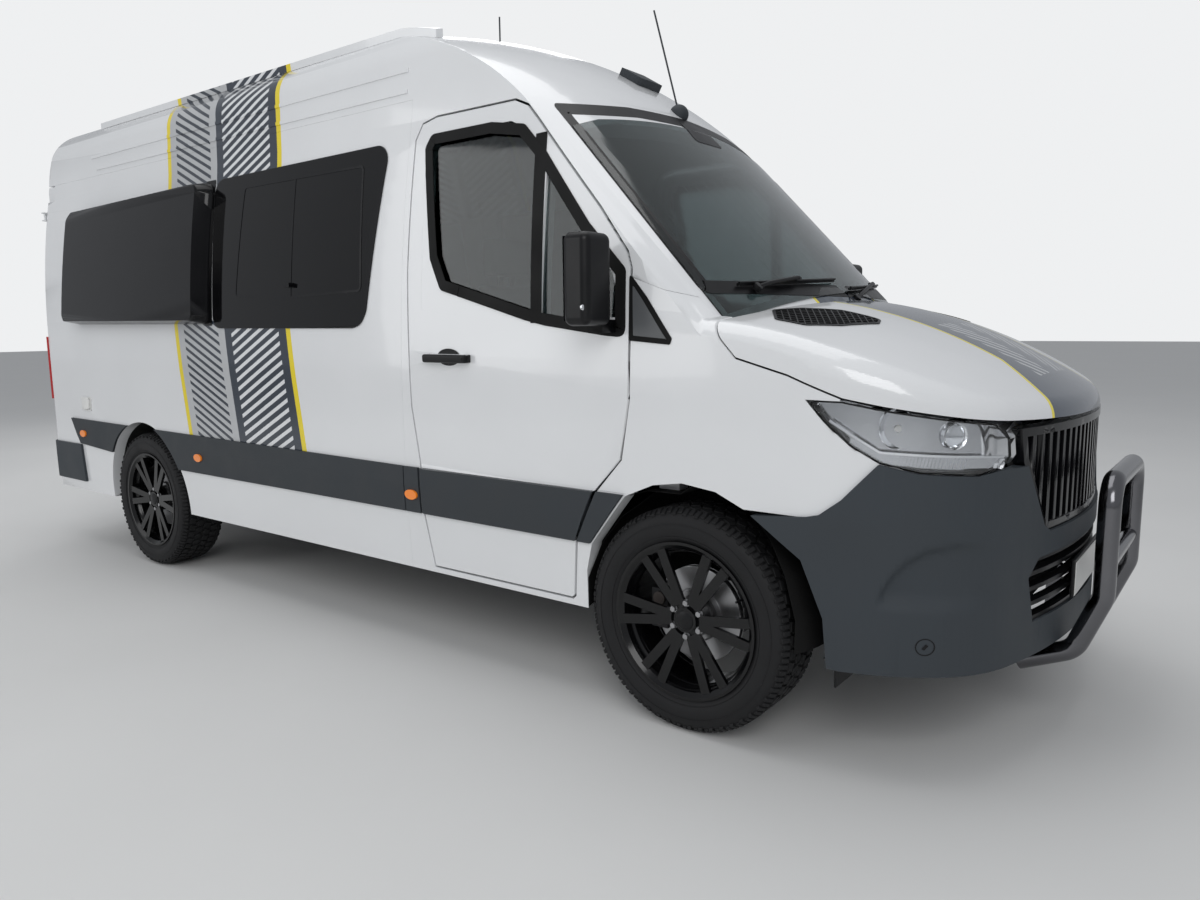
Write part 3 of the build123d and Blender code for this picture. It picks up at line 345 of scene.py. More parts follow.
BANDS = tuple(
    Band(low, high, heights, colour, pitch, bar_colour, slope)
    for heights in (WAIST, CANT)
    for low, high, colour, pitch, bar_colour, slope in (
        (-1.262, -1.226, YELLOW, 0.0, WHITE, 0.0),
        (-1.226, -0.765, PALE_GREY, 0.098, NAVY, 2.2),
        (-0.765, -0.232, NAVY, 0.098, WHITE, -2.2),
        (-0.232, -0.196, YELLOW, 0.0, WHITE, 0.0),
    )
)
PAINTWORK = {
    "colour": WHITE, "gloss": Gloss.GLOSSY, "coat": 0.6, "vary": 0.02, "grain": 900, "grain_strength": 0.03,
    "grain_depth": 0.00004, "wear": 2.0,
}
FINISHES = (
    Livery("body_paint", bands=BANDS, **PAINTWORK),
    Livery("door_paint", strip_z=(0.6035, 0.7965), **PAINTWORK),
    Finish("trim_plastic", TRIM_GREY, Gloss.MATTE, vary=0.18, grain=1400, grain_strength=0.5),
    Finish("bumper_plastic", (0.034, 0.042, 0.050), Gloss.MATTE, vary=0.14, grain=1500, grain_strength=0.5, wear=3.0),
    Finish("gloss_black", (0.003, 0.003, 0.004), Gloss.GLOSSY, vary=0.3, grain=700, grain_strength=0.05, shine=0.35),
    Finish("pitch_black", (0.002, 0.002, 0.002), Gloss.ROUGH, vary=0.3, grain=500, grain_strength=0.2, shine=0.1),
    Finish("quarter_grey", (0.10, 0.105, 0.11), vary=0.1, grain=600, grain_strength=0.1),
    Finish("satin_black", (0.006, 0.006, 0.007), vary=0.3, grain=900, shine=0.3),
    Finish("rubber_seal", (0.004, 0.004, 0.004), Gloss.MATTE, vary=0.3, grain=800, grain_strength=0.3, shine=0.25),
    Finish("bar_steel", (0.17, 0.17, 0.18), Gloss.GLOSSY, metal=1.0, vary=0.1, grain=160, grain_strength=0.05,
           stretch=(1.0, 12.0, 1.0)),
    Finish("bright_chrome", (0.82, 0.83, 0.85), Gloss.MIRROR, metal=1.0, vary=0.03, grain=500, grain_strength=0.02),
    Finish("brushed_steel", (0.42, 0.42, 0.43), metal=1.0, vary=0.15, grain=260, grain_strength=0.3,
           stretch=(1.0, 20.0, 1.0)),
    Finish("dark_steel", (0.05, 0.05, 0.052), Gloss.MATTE, metal=0.5, vary=0.35, grain=300, grain_strength=0.4,
           grain_depth=0.0004),
    Finish("cast_iron", (0.16, 0.14, 0.13), Gloss.MATTE, metal=0.8, vary=0.4, grain=500, grain_strength=0.5,
           grain_depth=0.0004),
    Finish("tyre_rubber", (0.013, 0.013, 0.014), Gloss.MATTE, vary=0.35, grain=420, grain_strength=0.45,
           grain_depth=0.0004, wear=9.0, shine=0.3),
    Finish("rim_black", (0.003, 0.003, 0.0035), Gloss.GLOSSY, vary=0.25, grain=800, grain_strength=0.05, shine=0.4),
    Finish("underseal", (0.012, 0.012, 0.012), Gloss.ROUGH, vary=0.4, grain=160, grain_strength=0.6,
           grain_depth=0.0008, shine=0.2),
    Finish("amber_lens", (0.85, 0.22, 0.01), Gloss.GLOSSY, coat=0.7, vary=0.1, grain=900, grain_strength=0.2,
           glow=0.15),
    Finish("red_lens", (0.50, 0.010, 0.012), Gloss.GLOSSY, coat=0.8, grain=900, grain_strength=0.2, glow=0.05),
    Finish("tank_plastic", (0.015, 0.015, 0.016), Gloss.MATTE, vary=0.25, grain=300, grain_strength=0.4),
    Finish("seat_cloth", (0.035, 0.037, 0.042), Gloss.ROUGH, vary=0.25, grain=1100, grain_strength=0.8,
           grain_depth=0.0006, wear=12.0),
    Finish("mattress_cloth", (0.34, 0.33, 0.31), Gloss.ROUGH, grain=900, grain_strength=0.8, grain_depth=0.0006,
           wear=10.0),
    Finish("dash_plastic", (0.022, 0.023, 0.025), Gloss.MATTE, vary=0.2, grain=1300, grain_strength=0.6,
           grain_depth=0.0003),
    Finish("birch_board", (0.46, 0.33, 0.20), vary=0.22, grain=60, wear=7.0, stretch=(1.0, 9.0, 9.0)),
    Finish("unit_white", (0.62, 0.62, 0.60), vary=0.06, grain=300, grain_strength=0.1),
    Finish("alloy_cast", (0.42, 0.42, 0.43), Gloss.MATTE, metal=0.9, vary=0.25, grain=240, grain_strength=0.4,
           grain_depth=0.0004),
    Finish("blank_plate", (0.80, 0.80, 0.78), vary=0.04, grain=700, grain_strength=0.1),
    Finish("lamp_silver", (0.62, 0.63, 0.65), Gloss.GLOSSY, metal=0.9, vary=0.08, grain=500, grain_strength=0.1),
    Finish("clear_lens", (0.97, 0.98, 0.99), Gloss.MIRROR, vary=0.0, grain=300, grain_strength=0.02, clear=1.0),
    Finish("cab_glass", (0.20, 0.245, 0.25), Gloss.MIRROR, vary=0.0, grain=200, grain_strength=0.01, clear=1.0),
    Finish("privacy_glass", (0.002, 0.002, 0.0025), Gloss.MIRROR, vary=0.1, grain=200, grain_strength=0.01, shine=0.4),
    Finish("studio_floor_paint", (0.72, 0.72, 0.71), Gloss.ROUGH, vary=0.02, grain=60, grain_strength=0.1, wear=0.8),
)
PAINTS = {finish.name: finish.build() for finish in FINISHES}


class Shape:
    """A mesh under construction in the frame's own metres, shaped by bmesh operators."""

    def __init__(self) -> None:
        """Starts with an empty mesh."""
        self.bm = bmesh.new()

    def since(self, before: set) -> list:
        """Lists the vertices that weren't there before."""
        return [v for v in self.bm.verts if v not in before]

    def chain(self, points: Iterable[Sequence[float]], closed: bool = False) -> tuple[list, list]:
        """Draws a line of edges.

        Args:
            points: Its points.
            closed: Whether it returns to the first.

        Returns:
            Its vertices and edges.
        """
        verts = [self.bm.verts.new(point) for point in points]
        ends = verts[1:] + verts[:1] if closed else verts[1:]
        return verts, [self.bm.edges.new(pair) for pair in zip(verts, ends)]

    def recalculate(self, verts: Iterable) -> None:
        """Turns the faces of a part of the mesh outwards."""
        bmesh.ops.recalc_face_normals(self.bm, faces=list({f for v in verts for f in v.link_faces}))

    def block(self, low: Sequence[float], high: Sequence[float], edge: float = 0.0, rounds: int = 2) -> list:
        """Adds a box with its edges rounded.

        Args:
            low: Its lowest corner.
            high: Its highest corner.
            edge: The edges' radius.
            rounds: Segments of each rounded edge.

        Returns:
            The box's vertices.
        """
        size, middle = Vector(high) - Vector(low), (Vector(high) + Vector(low)) / 2
        matrix = Matrix.Translation(middle) @ Matrix.Diagonal((*size, 1.0))
        verts = bmesh.ops.create_cube(self.bm, size=1.0, matrix=matrix)["verts"]
        return self.round_edges(verts, edge, rounds) if edge else verts

    def round_edges(self, verts: Iterable, edge: float, rounds: int = 2, least: float = 30.0) -> list:
        """Rounds the sharp edges of a part of the mesh.

        Args:
            verts: The part's vertices.
            edge: The radius.
            rounds: Segments of each rounded edge.
            least: The smallest angle, in degrees, that counts as sharp.

        Returns:
            The part's vertices after the edges are rounded.
        """
        chosen = set(verts)
        edges = [
            e
            for e in self.bm.edges
            if e.verts[0] in chosen and e.verts[1] in chosen
            and len(e.link_faces) == 2 and e.calc_face_angle() > math.radians(least)
        ]
        before = set(self.bm.verts) - chosen
        bmesh.ops.bevel(
            self.bm, geom=edges, offset=edge, segments=rounds, profile=0.5, affect="EDGES", material=-1,
            clamp_overlap=True,
        )
        return self.since(before)

    def turned(self, middle: Sequence[float], axis: Sequence[float]) -> Matrix:
        """Gives the place and turn that stands a shape's Z along an axis."""
        turn = Vector(axis).normalized().to_track_quat("Z", "Y").to_matrix().to_4x4()
        return Matrix.Translation(Vector(middle)) @ turn

    def rod(self, middle: Sequence[float], axis: Sequence[float], radius: float, length: float,
            sides: int = 24, end_radius: Optional[float] = None, edge: float = 0.0) -> list:
        """Adds a closed round rod or cone.

        Args:
            middle: Its centre.
            axis: Its direction.
            radius: Its radius at the start.
            length: Its length.
            sides: How many sides it has.
            end_radius: Its radius at the far end, if it tapers.
            edge: The radius of its end edges.

        Returns:
            The rod's vertices.
        """
        verts = bmesh.ops.create_cone(
            self.bm, cap_ends=True, segments=sides, radius1=radius,
            radius2=radius if end_radius is None else end_radius, depth=length, matrix=self.turned(middle, axis),
        )["verts"]
        return self.round_edges(verts, edge, 2, 50.0) if edge else verts

    def turn(self, profile: Sequence[Flat], middle: Sequence[float], axis: Sequence[float],
             steps: int = 48, closed: bool = True) -> list:
        """Spins an outline of (radius, height) points about an axis.

        Args:
            profile: The outline, a loop unless closed is false.
            middle: The axis's origin.
            axis: The axis's direction.
            steps: Steps of the full turn.
            closed: Whether the outline returns to its first point.

        Returns:
            The turned vertices.
        """
        before = set(self.bm.verts)
        matrix = self.turned(middle, axis)
        start, edges = self.chain((matrix @ Vector((r, 0.0, h)) for r, h in profile), closed)
        bmesh.ops.spin(
            self.bm, geom=[*start, *edges], cent=Vector(middle), axis=Vector(axis).normalized(),
            angle=math.tau, steps=steps, use_merge=True,
        )
        bmesh.ops.remove_doubles(self.bm, verts=self.since(before), dist=FINE_WELD)
        return self.since(before)

    def slab(self, outline: Sequence[Sequence[float]], push: Sequence[float], edge: float = 0.0,
             rounds: int = 2) -> list:
        """Extrudes a flat outline.

        Args:
            outline: The outline's points in order.
            push: How far, and which way, it is extruded.
            edge: The radius of its edges.
            rounds: Segments of each rounded edge.

        Returns:
            The slab's vertices.
        """
        start = [self.bm.verts.new(point) for point in outline]
        face = self.bm.faces.new(start)
        made = bmesh.ops.extrude_face_region(self.bm, geom=[face])["geom"]
        moved = [g for g in made if isinstance(g, bmesh.types.BMVert)]
        bmesh.ops.translate(self.bm, verts=moved, vec=Vector(push))
        face.normal_flip()
        self.recalculate(start + moved)
        return self.round_edges(start + moved, edge, rounds) if edge else start + moved

    def tube(self, route: Sequence[Sequence[float]], radius: float, sides: int = 12) -> None:
        """Runs a round tube along a route.

        Args:
            route: The route's points.
            radius: The tube's radius.
            sides: Its sides.
        """
        points = [Vector(p) for p in route]
        before = set(self.bm.verts)
        heading = (points[1] - points[0]).normalized()
        ring = bmesh.ops.create_circle(
            self.bm, cap_ends=True, segments=sides, radius=radius, matrix=self.turned(points[0], heading)
        )["verts"]
        for index in range(1, len(points)):
            after = points[min(index + 1, len(points) - 1)]
            ahead = (after - points[index - 1]).normalized()
            faces = {f for v in ring for f in v.link_faces if all(w in set(ring) for w in f.verts)}
            made = bmesh.ops.extrude_face_region(self.bm, geom=list(faces))["geom"]
            if index > 1:
                bmesh.ops.delete(self.bm, geom=[f for f in faces if f.is_valid], context="FACES_ONLY")
            ring = [g for g in made if isinstance(g, bmesh.types.BMVert)]
            spin = heading.rotation_difference(ahead).to_matrix().to_4x4()
            back = Matrix.Translation(-points[index - 1])
            self.move(ring, Matrix.Translation(points[index]) @ spin @ back)
            heading = ahead
        self.recalculate(self.since(before))

    def move(self, verts: Iterable, matrix: Matrix) -> None:
        """Moves a part of the mesh by a matrix."""
        bmesh.ops.transform(self.bm, verts=list(verts), matrix=matrix)

    def twin(self) -> None:
        """Adds a mirror image of the whole mesh across the middle plane."""
        made = bmesh.ops.duplicate(self.bm, geom=[*self.bm.faces, *self.bm.verts])["geom"]
        self.move([g for g in made if isinstance(g, bmesh.types.BMVert)], Matrix.Diagonal((1.0, -1.0, 1.0, 1.0)))
        bmesh.ops.reverse_faces(self.bm, faces=[g for g in made if isinstance(g, bmesh.types.BMFace)])

    def repeat(self, verts: Iterable, count: int, middle: Sequence[float], axis: Sequence[float]) -> None:
        """Repeats a part of the mesh evenly round an axis.

        Args:
            verts: The part's vertices.
            count: How many there are in the end.
            middle: A point of the axis.
            axis: The axis's direction.
        """
        chosen = set(verts)
        geometry = [f for f in self.bm.faces if all(v in chosen for v in f.verts)] + list(chosen)
        for index in range(1, count):
            made = bmesh.ops.duplicate(self.bm, geom=geometry)["geom"]
            turn = Matrix.Rotation(math.tau * index / count, 4, Vector(axis))
            place = Matrix.Translation(Vector(middle)) @ turn @ Matrix.Translation(-Vector(middle))
            self.move([g for g in made if isinstance(g, bmesh.types.BMVert)], place)

    def take(self, node: str) -> "Shape":
        """Adds a merged copy of a CAD node's mesh, and gives the shape back."""
        before = set(self.bm.verts)
        self.bm.from_mesh(frame["nodes"][node].data)
        bmesh.ops.remove_doubles(self.bm, verts=self.since(before), dist=WELD)
        return self

    def finish(self, name: str, paint: str, slot: str, body: str = "root", smooth: float = 32.0,
               replaces: Sequence[str] = ()) -> bpy.types.Object:
        """Makes the object, smooths it by angle, paints it and lets it ride on its body.

        Args:
            name: The piece's name.
            paint: Its finish.
            slot: The record's material slot; not used.
            body: The body that it moves with.
            smooth: Faces that meet at less than this many degrees shade as one.
            replaces: CAD nodes that it stands for.

        Returns:
            The finished object.
        """
        mesh = bpy.data.meshes.new(name)
        self.bm.to_mesh(mesh)
        self.bm.free()
        mesh.shade_smooth()
        mesh.set_sharp_from_angle(angle=math.radians(smooth))
        mesh.materials.append(PAINTS[paint])
        piece = bpy.data.objects.new(name, mesh)
        bpy.context.scene.collection.objects.link(piece)
        piece.modifiers.new("even_normals", "WEIGHTED_NORMAL").keep_sharp = True
        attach(piece, body)
        if replaces:
            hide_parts(*replaces)
        LOG.info("%s: %d faces, rides on %s", name, len(mesh.polygons), body)
        return piece


def body_of(node: str) -> str:
    """Names the body that a CAD node rides on."""
    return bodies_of(frame["nodes"][node])[0]


def dress(node: str, paint: str, slot: str, smooth: float = 28.0, edge: float = 0.0) -> None:
    """Shows a merged, smoothly shaded copy of a CAD node in its place.

    Args:
        node: The CAD node.
        paint: Its finish.
        slot: The record's material slot.
        smooth: Faces that meet at less than this many degrees shade as one.
        edge: The radius of its softened edges.
    """
    piece = Shape().take(node).finish(node + "_skin", paint, slot, body_of(node), smooth, (node,))
    if edge:
        soft = piece.modifiers.new("soft_edges", "BEVEL")
        soft.width = edge
        soft.segments = 2
        soft.limit_method = "ANGLE"
        soft.angle_limit = SOFT_ANGLE
        soft.use_clamp_overlap = True
        piece.modifiers.move(1, 0)


class Surface:
    """The outer surface of some CAD nodes, for laying thin details on it."""

    def __init__(self, *nodes: str) -> None:
        """Builds one search tree over the nodes' meshes.

        Args:
            nodes: The CAD nodes.
        """
        verts: list[Vector] = []
        faces: list[tuple[int, ...]] = []
        for node in nodes:
            mesh = frame["nodes"][node].data
            start = len(verts)
            verts.extend(v.co.copy() for v in mesh.vertices)
            faces.extend(tuple(start + i for i in p.vertices) for p in mesh.polygons)
        self.tree = BVHTree.FromPolygons(verts, faces)

    def touch(self, start: Sequence[float], heading: Vector, lift: float) -> Optional[Vector]:
        """Finds where a ray first meets the surface.

        Args:
            start: Where the ray starts, outside the surface.
            heading: Which way it goes.
            lift: How far the point is then raised along the surface's normal.

        Returns:
            The point, or None where the ray misses.
        """
        place, normal, _, _ = self.tree.ray_cast(Vector(start), heading)
        if place is None:
            return None
        return place + (-normal if normal.dot(heading) > 0 else normal) * lift

    def drop(self, verts: Iterable, heading: Vector, lift: float) -> None:
        """Presses vertices onto the surface along a direction.

        Args:
            verts: The vertices; one whose ray misses is set level with the nearest that hits.
            heading: Which way they are pressed.
            lift: How far above the surface they end.
        """
        placed: list[tuple[Vector, float]] = []
        missed = []
        for vert in verts:
            place = self.touch(vert.co - heading * RAY_START, heading, lift)
            if place is None:
                missed.append(vert)
            else:
                placed.append((vert.co.copy(), (place - vert.co).dot(heading)))
                vert.co = place
        for vert in missed:
            if placed:
                vert.co += heading * min(placed, key=lambda entry: (entry[0] - vert.co).length_squared)[1]


class Flank(Surface):
    """The body side's own smooth curve, closed over its openings."""

    sections: tuple[Flat, ...] = ((1.150, 0.992), (1.660, 0.962), (2.200, 0.886))

    def __init__(self, side: int) -> None:
        """Fits a circle to the sections of one side.

        Args:
            side: -1 for the right, 1 for the left.
        """
        self.side = side
        (z1, y1), (z2, y2), (z3, y3) = self.sections
        a, b, c = y1 - y2, z1 - z2, (y1**2 - y2**2 + z1**2 - z2**2) / 2
        d, e, f = y2 - y3, z2 - z3, (y2**2 - y3**2 + z2**2 - z3**2) / 2
        self.mid_y = (c * e - b * f) / (a * e - b * d)
        self.mid_z = (a * f - c * d) / (a * e - b * d)
        self.radius = math.hypot(y1 - self.mid_y, z1 - self.mid_z)

    def half(self, z: float) -> float:
        """Gives the body's half width at a height; below the first section the side is upright."""
        if z <= self.sections[0][0]:
            return self.sections[0][1]
        return self.mid_y + math.sqrt(self.radius**2 - (z - self.mid_z) ** 2)

    def drop(self, verts: Iterable, heading: Vector, lift: float) -> None:
        """Presses vertices sideways onto the curve.

        Args:
            verts: The vertices.
            heading: Not needed, as they always go sideways.
            lift: How far above the curve they end.
        """
        for vert in verts:
            vert.co.y = self.side * (self.half(vert.co.z) + lift)


View = tuple[Vector, Callable[[float, float], Vector]]  # the direction of pressing, and the placing of flat points
ON_NOSE: View = (Vector((-1.0, 0.0, 0.0)), lambda y, z: at(1.3, y, z))
ON_TAIL: View = (Vector((1.0, 0.0, 0.0)), lambda y, z: at(-5.1, y, z))
ON_TOP: View = (Vector((0.0, 0.0, -1.0)), lambda x, y: at(x, y, 3.0))


def on_flank(side: int) -> View:
    """Gives the view for laying (x, z) points on one flank; a side of -1 is the right."""
    return Vector((0.0, -side, 0.0)), lambda x, z: at(x, side * 1.4, z)


def corner_arc(points: Sequence[Flat], radius: float, steps: int = 5) -> list[Flat]:
    """Rounds the corners of a flat outline.

    Args:
        points: The outline's corners.
        radius: The corner radius, cut down where a side is short.
        steps: Points of each corner, less one.

    Returns:
        The rounded outline.
    """
    loop: list[Flat] = []
    for index, corner in enumerate(points):
        here = Vector((*corner, 0.0))
        before = Vector((*points[index - 1], 0.0)) - here
        after = Vector((*points[(index + 1) % len(points)], 0.0)) - here
        turn = math.pi - before.angle(after)
        reach = min(radius * math.tan(turn / 2), before.length * SIDE_SHARE, after.length * SIDE_SHARE)
        start, end = here + before.normalized() * reach, here + after.normalized() * reach
        for t in (step / steps for step in range(steps + 1)):
            point = start * (1 - t) ** 2 + here * 2 * t * (1 - t) + end * t**2
            loop.append((point.x, point.y))
    return loop


def shrunk(points: Sequence[Flat], amount: float) -> list[Flat]:
    """Draws an outline in by an amount, corner by corner.

    Args:
        points: The outline's corners, in order.
        amount: How far in.

    Returns:
        The drawn-in outline, with as many corners.
    """
    count = len(points)
    area = sum(points[i - 1][0] * points[i][1] - points[i][0] * points[i - 1][1] for i in range(count))
    side = 1.0 if area > 0 else -1.0
    result = []
    for index in range(count):
        here = Vector(points[index])
        into = (here - Vector(points[index - 1])).normalized()
        out = (Vector(points[(index + 1) % count]) - here).normalized()
        first, second = Vector((-into.y, into.x)), Vector((-out.y, out.x))
        both = first + second
        result.append(tuple(here + both * (side * amount / max(both.dot(first), SHARPEST))))
    return result


def split_long(points: Sequence[Flat], most: float) -> list[Flat]:
    """Adds points on an outline's long sides.

    Args:
        points: The outline.
        most: The longest side that stays whole.

    Returns:
        The outline with the added points.
    """
    dense: list[Flat] = []
    for index, (x, y) in enumerate(points):
        end = points[(index + 1) % len(points)]
        pieces = max(1, math.ceil(math.dist((x, y), end) / most))
        dense.extend((x + (end[0] - x) * k / pieces, y + (end[1] - y) * k / pieces) for k in range(pieces))
    return dense


class Laid(Shape):
    """A shape whose parts are laid on a surface and given a thickness."""

    def __init__(self, surface: Surface, view: View) -> None:
        """Starts an empty shape on a surface.

        Args:
            surface: The surface it lies on.
            view: Where it is pressed on from.
        """
        super().__init__()
        self.surface = surface
        self.heading, self.plane = view

    def frame_band(self, outline: Sequence[Flat], inwards: float, thick: float, lift: float,
                   radius: float = 0.03, most: float = 0.03) -> "Laid":
        """Lays a closed band along an outline.

        Args:
            outline: The band's outer corners.
            inwards: Its width, inwards.
            thick: Its thickness.
            lift: The height of its underside over the surface.
            radius: The outline's corner radius.
            most: The longest side of its facets.

        Returns:
            This shape.
        """
        outer = split_long(corner_arc(outline, radius), most)
        rings: list = []
        for loop in (outer, shrunk(outer, inwards)):
            verts, edges = self.chain((self.plane(*point) for point in loop), True)
            self.surface.drop(verts, self.heading, lift)
            rings += edges
        return self.thicken(bmesh.ops.bridge_loops(self.bm, edges=rings)["faces"], thick)

    def patch(self, outline: Sequence[Flat], thick: float, lift: float, radius: float = 0.03,
              most: float = 0.05) -> "Laid":
        """Lays a filled outline on the surface.

        Args:
            outline: The patch's corners.
            thick: Its thickness.
            lift: The height of its underside over the surface.
            radius: The outline's corner radius.
            most: The longest side of its facets.

        Returns:
            This shape.
        """
        loop = split_long(corner_arc(outline, radius), most)
        faces = [self.bm.faces.new([self.bm.verts.new(self.plane(*point)) for point in loop])]
        origin = self.plane(0, 0)
        for k, normal in ((0, self.plane(1, 0) - origin), (1, self.plane(0, 1) - origin)):
            low = min(p[k] for p in loop)
            for cut in range(1, math.ceil((max(p[k] for p in loop) - low) / most)):
                geom = [g for f in faces if f.is_valid for g in (f, *f.edges, *f.verts)]
                made = bmesh.ops.bisect_plane(
                    self.bm, geom=list(dict.fromkeys(geom)), dist=FINE_WELD,
                    plane_co=origin + normal * (low + cut * most), plane_no=normal,
                )["geom"]
                faces = [g for g in made if isinstance(g, bmesh.types.BMFace)]
        self.surface.drop({v for f in faces for v in f.verts}, self.heading, lift)
        return self.thicken(faces, thick)

    def strip(self, line: Sequence[Flat], width: float, thick: float, lift: float, most: float = 0.04) -> "Laid":
        """Lays an open band along a line.

        Args:
            line: The line's points.
            width: The band's width.
            thick: Its thickness.
            lift: The height of its underside over the surface.
            most: The longest side of its facets.

        Returns:
            This shape.
        """
        dense = split_long(line, most)
        dense = dense[:len(dense) - max(1, math.ceil(math.dist(line[-1], line[0]) / most)) + 1]
        rows = []
        for index, point in enumerate(dense):
            ahead, behind = dense[min(index + 1, len(dense) - 1)], dense[max(index - 1, 0)]
            run = (Vector(ahead) - Vector(behind)).normalized()
            side = Vector((-run.y, run.x)) * (width / 2)
            rows.append([self.plane(*(Vector(point) + side * k)) for k in (-1, 0, 1)])
        row, edges = self.chain(rows[0])
        faces, laid = [], list(row)
        for places in rows[1:]:
            made = bmesh.ops.extrude_edge_only(self.bm, edges=edges)["geom"]
            edges = [g for g in made if isinstance(g, bmesh.types.BMEdge)]
            faces.extend(g for g in made if isinstance(g, bmesh.types.BMFace))
            row = [next(e.other_vert(v) for e in v.link_edges if e.other_vert(v) not in laid) for v in row]
            laid.extend(row)
            for vert, place in zip(row, places):
                vert.co = place
        self.surface.drop(laid, self.heading, lift)
        return self.thicken(faces, thick)

    def thicken(self, faces: Sequence, thick: float) -> "Laid":
        """Gives laid faces their thickness, outwards.

        Args:
            faces: The faces on the surface.
            thick: The thickness.

        Returns:
            This shape.
        """
        live = [f for f in faces if f.is_valid]
        bmesh.ops.recalc_face_normals(self.bm, faces=live)
        if sum(f.normal.dot(self.heading) * f.calc_area() for f in live) > 0:
            bmesh.ops.reverse_faces(self.bm, faces=live)
        made = bmesh.ops.extrude_face_region(self.bm, geom=live, use_keep_orig=True)["geom"]
        verts = {v for g in made if isinstance(g, bmesh.types.BMFace) for v in g.verts}
        normals = {v: v.normal.copy() for v in verts}
        bmesh.ops.reverse_faces(self.bm, faces=live)
        for v in verts:
            v.normal_update()
            push = normals[v] if normals[v].length > 0.5 else -self.heading
            v.co += push.normalized() * thick
        rims = {f for v in verts for f in v.link_faces}
        bmesh.ops.recalc_face_normals(self.bm, faces=list(rims | set(live)))
        return self


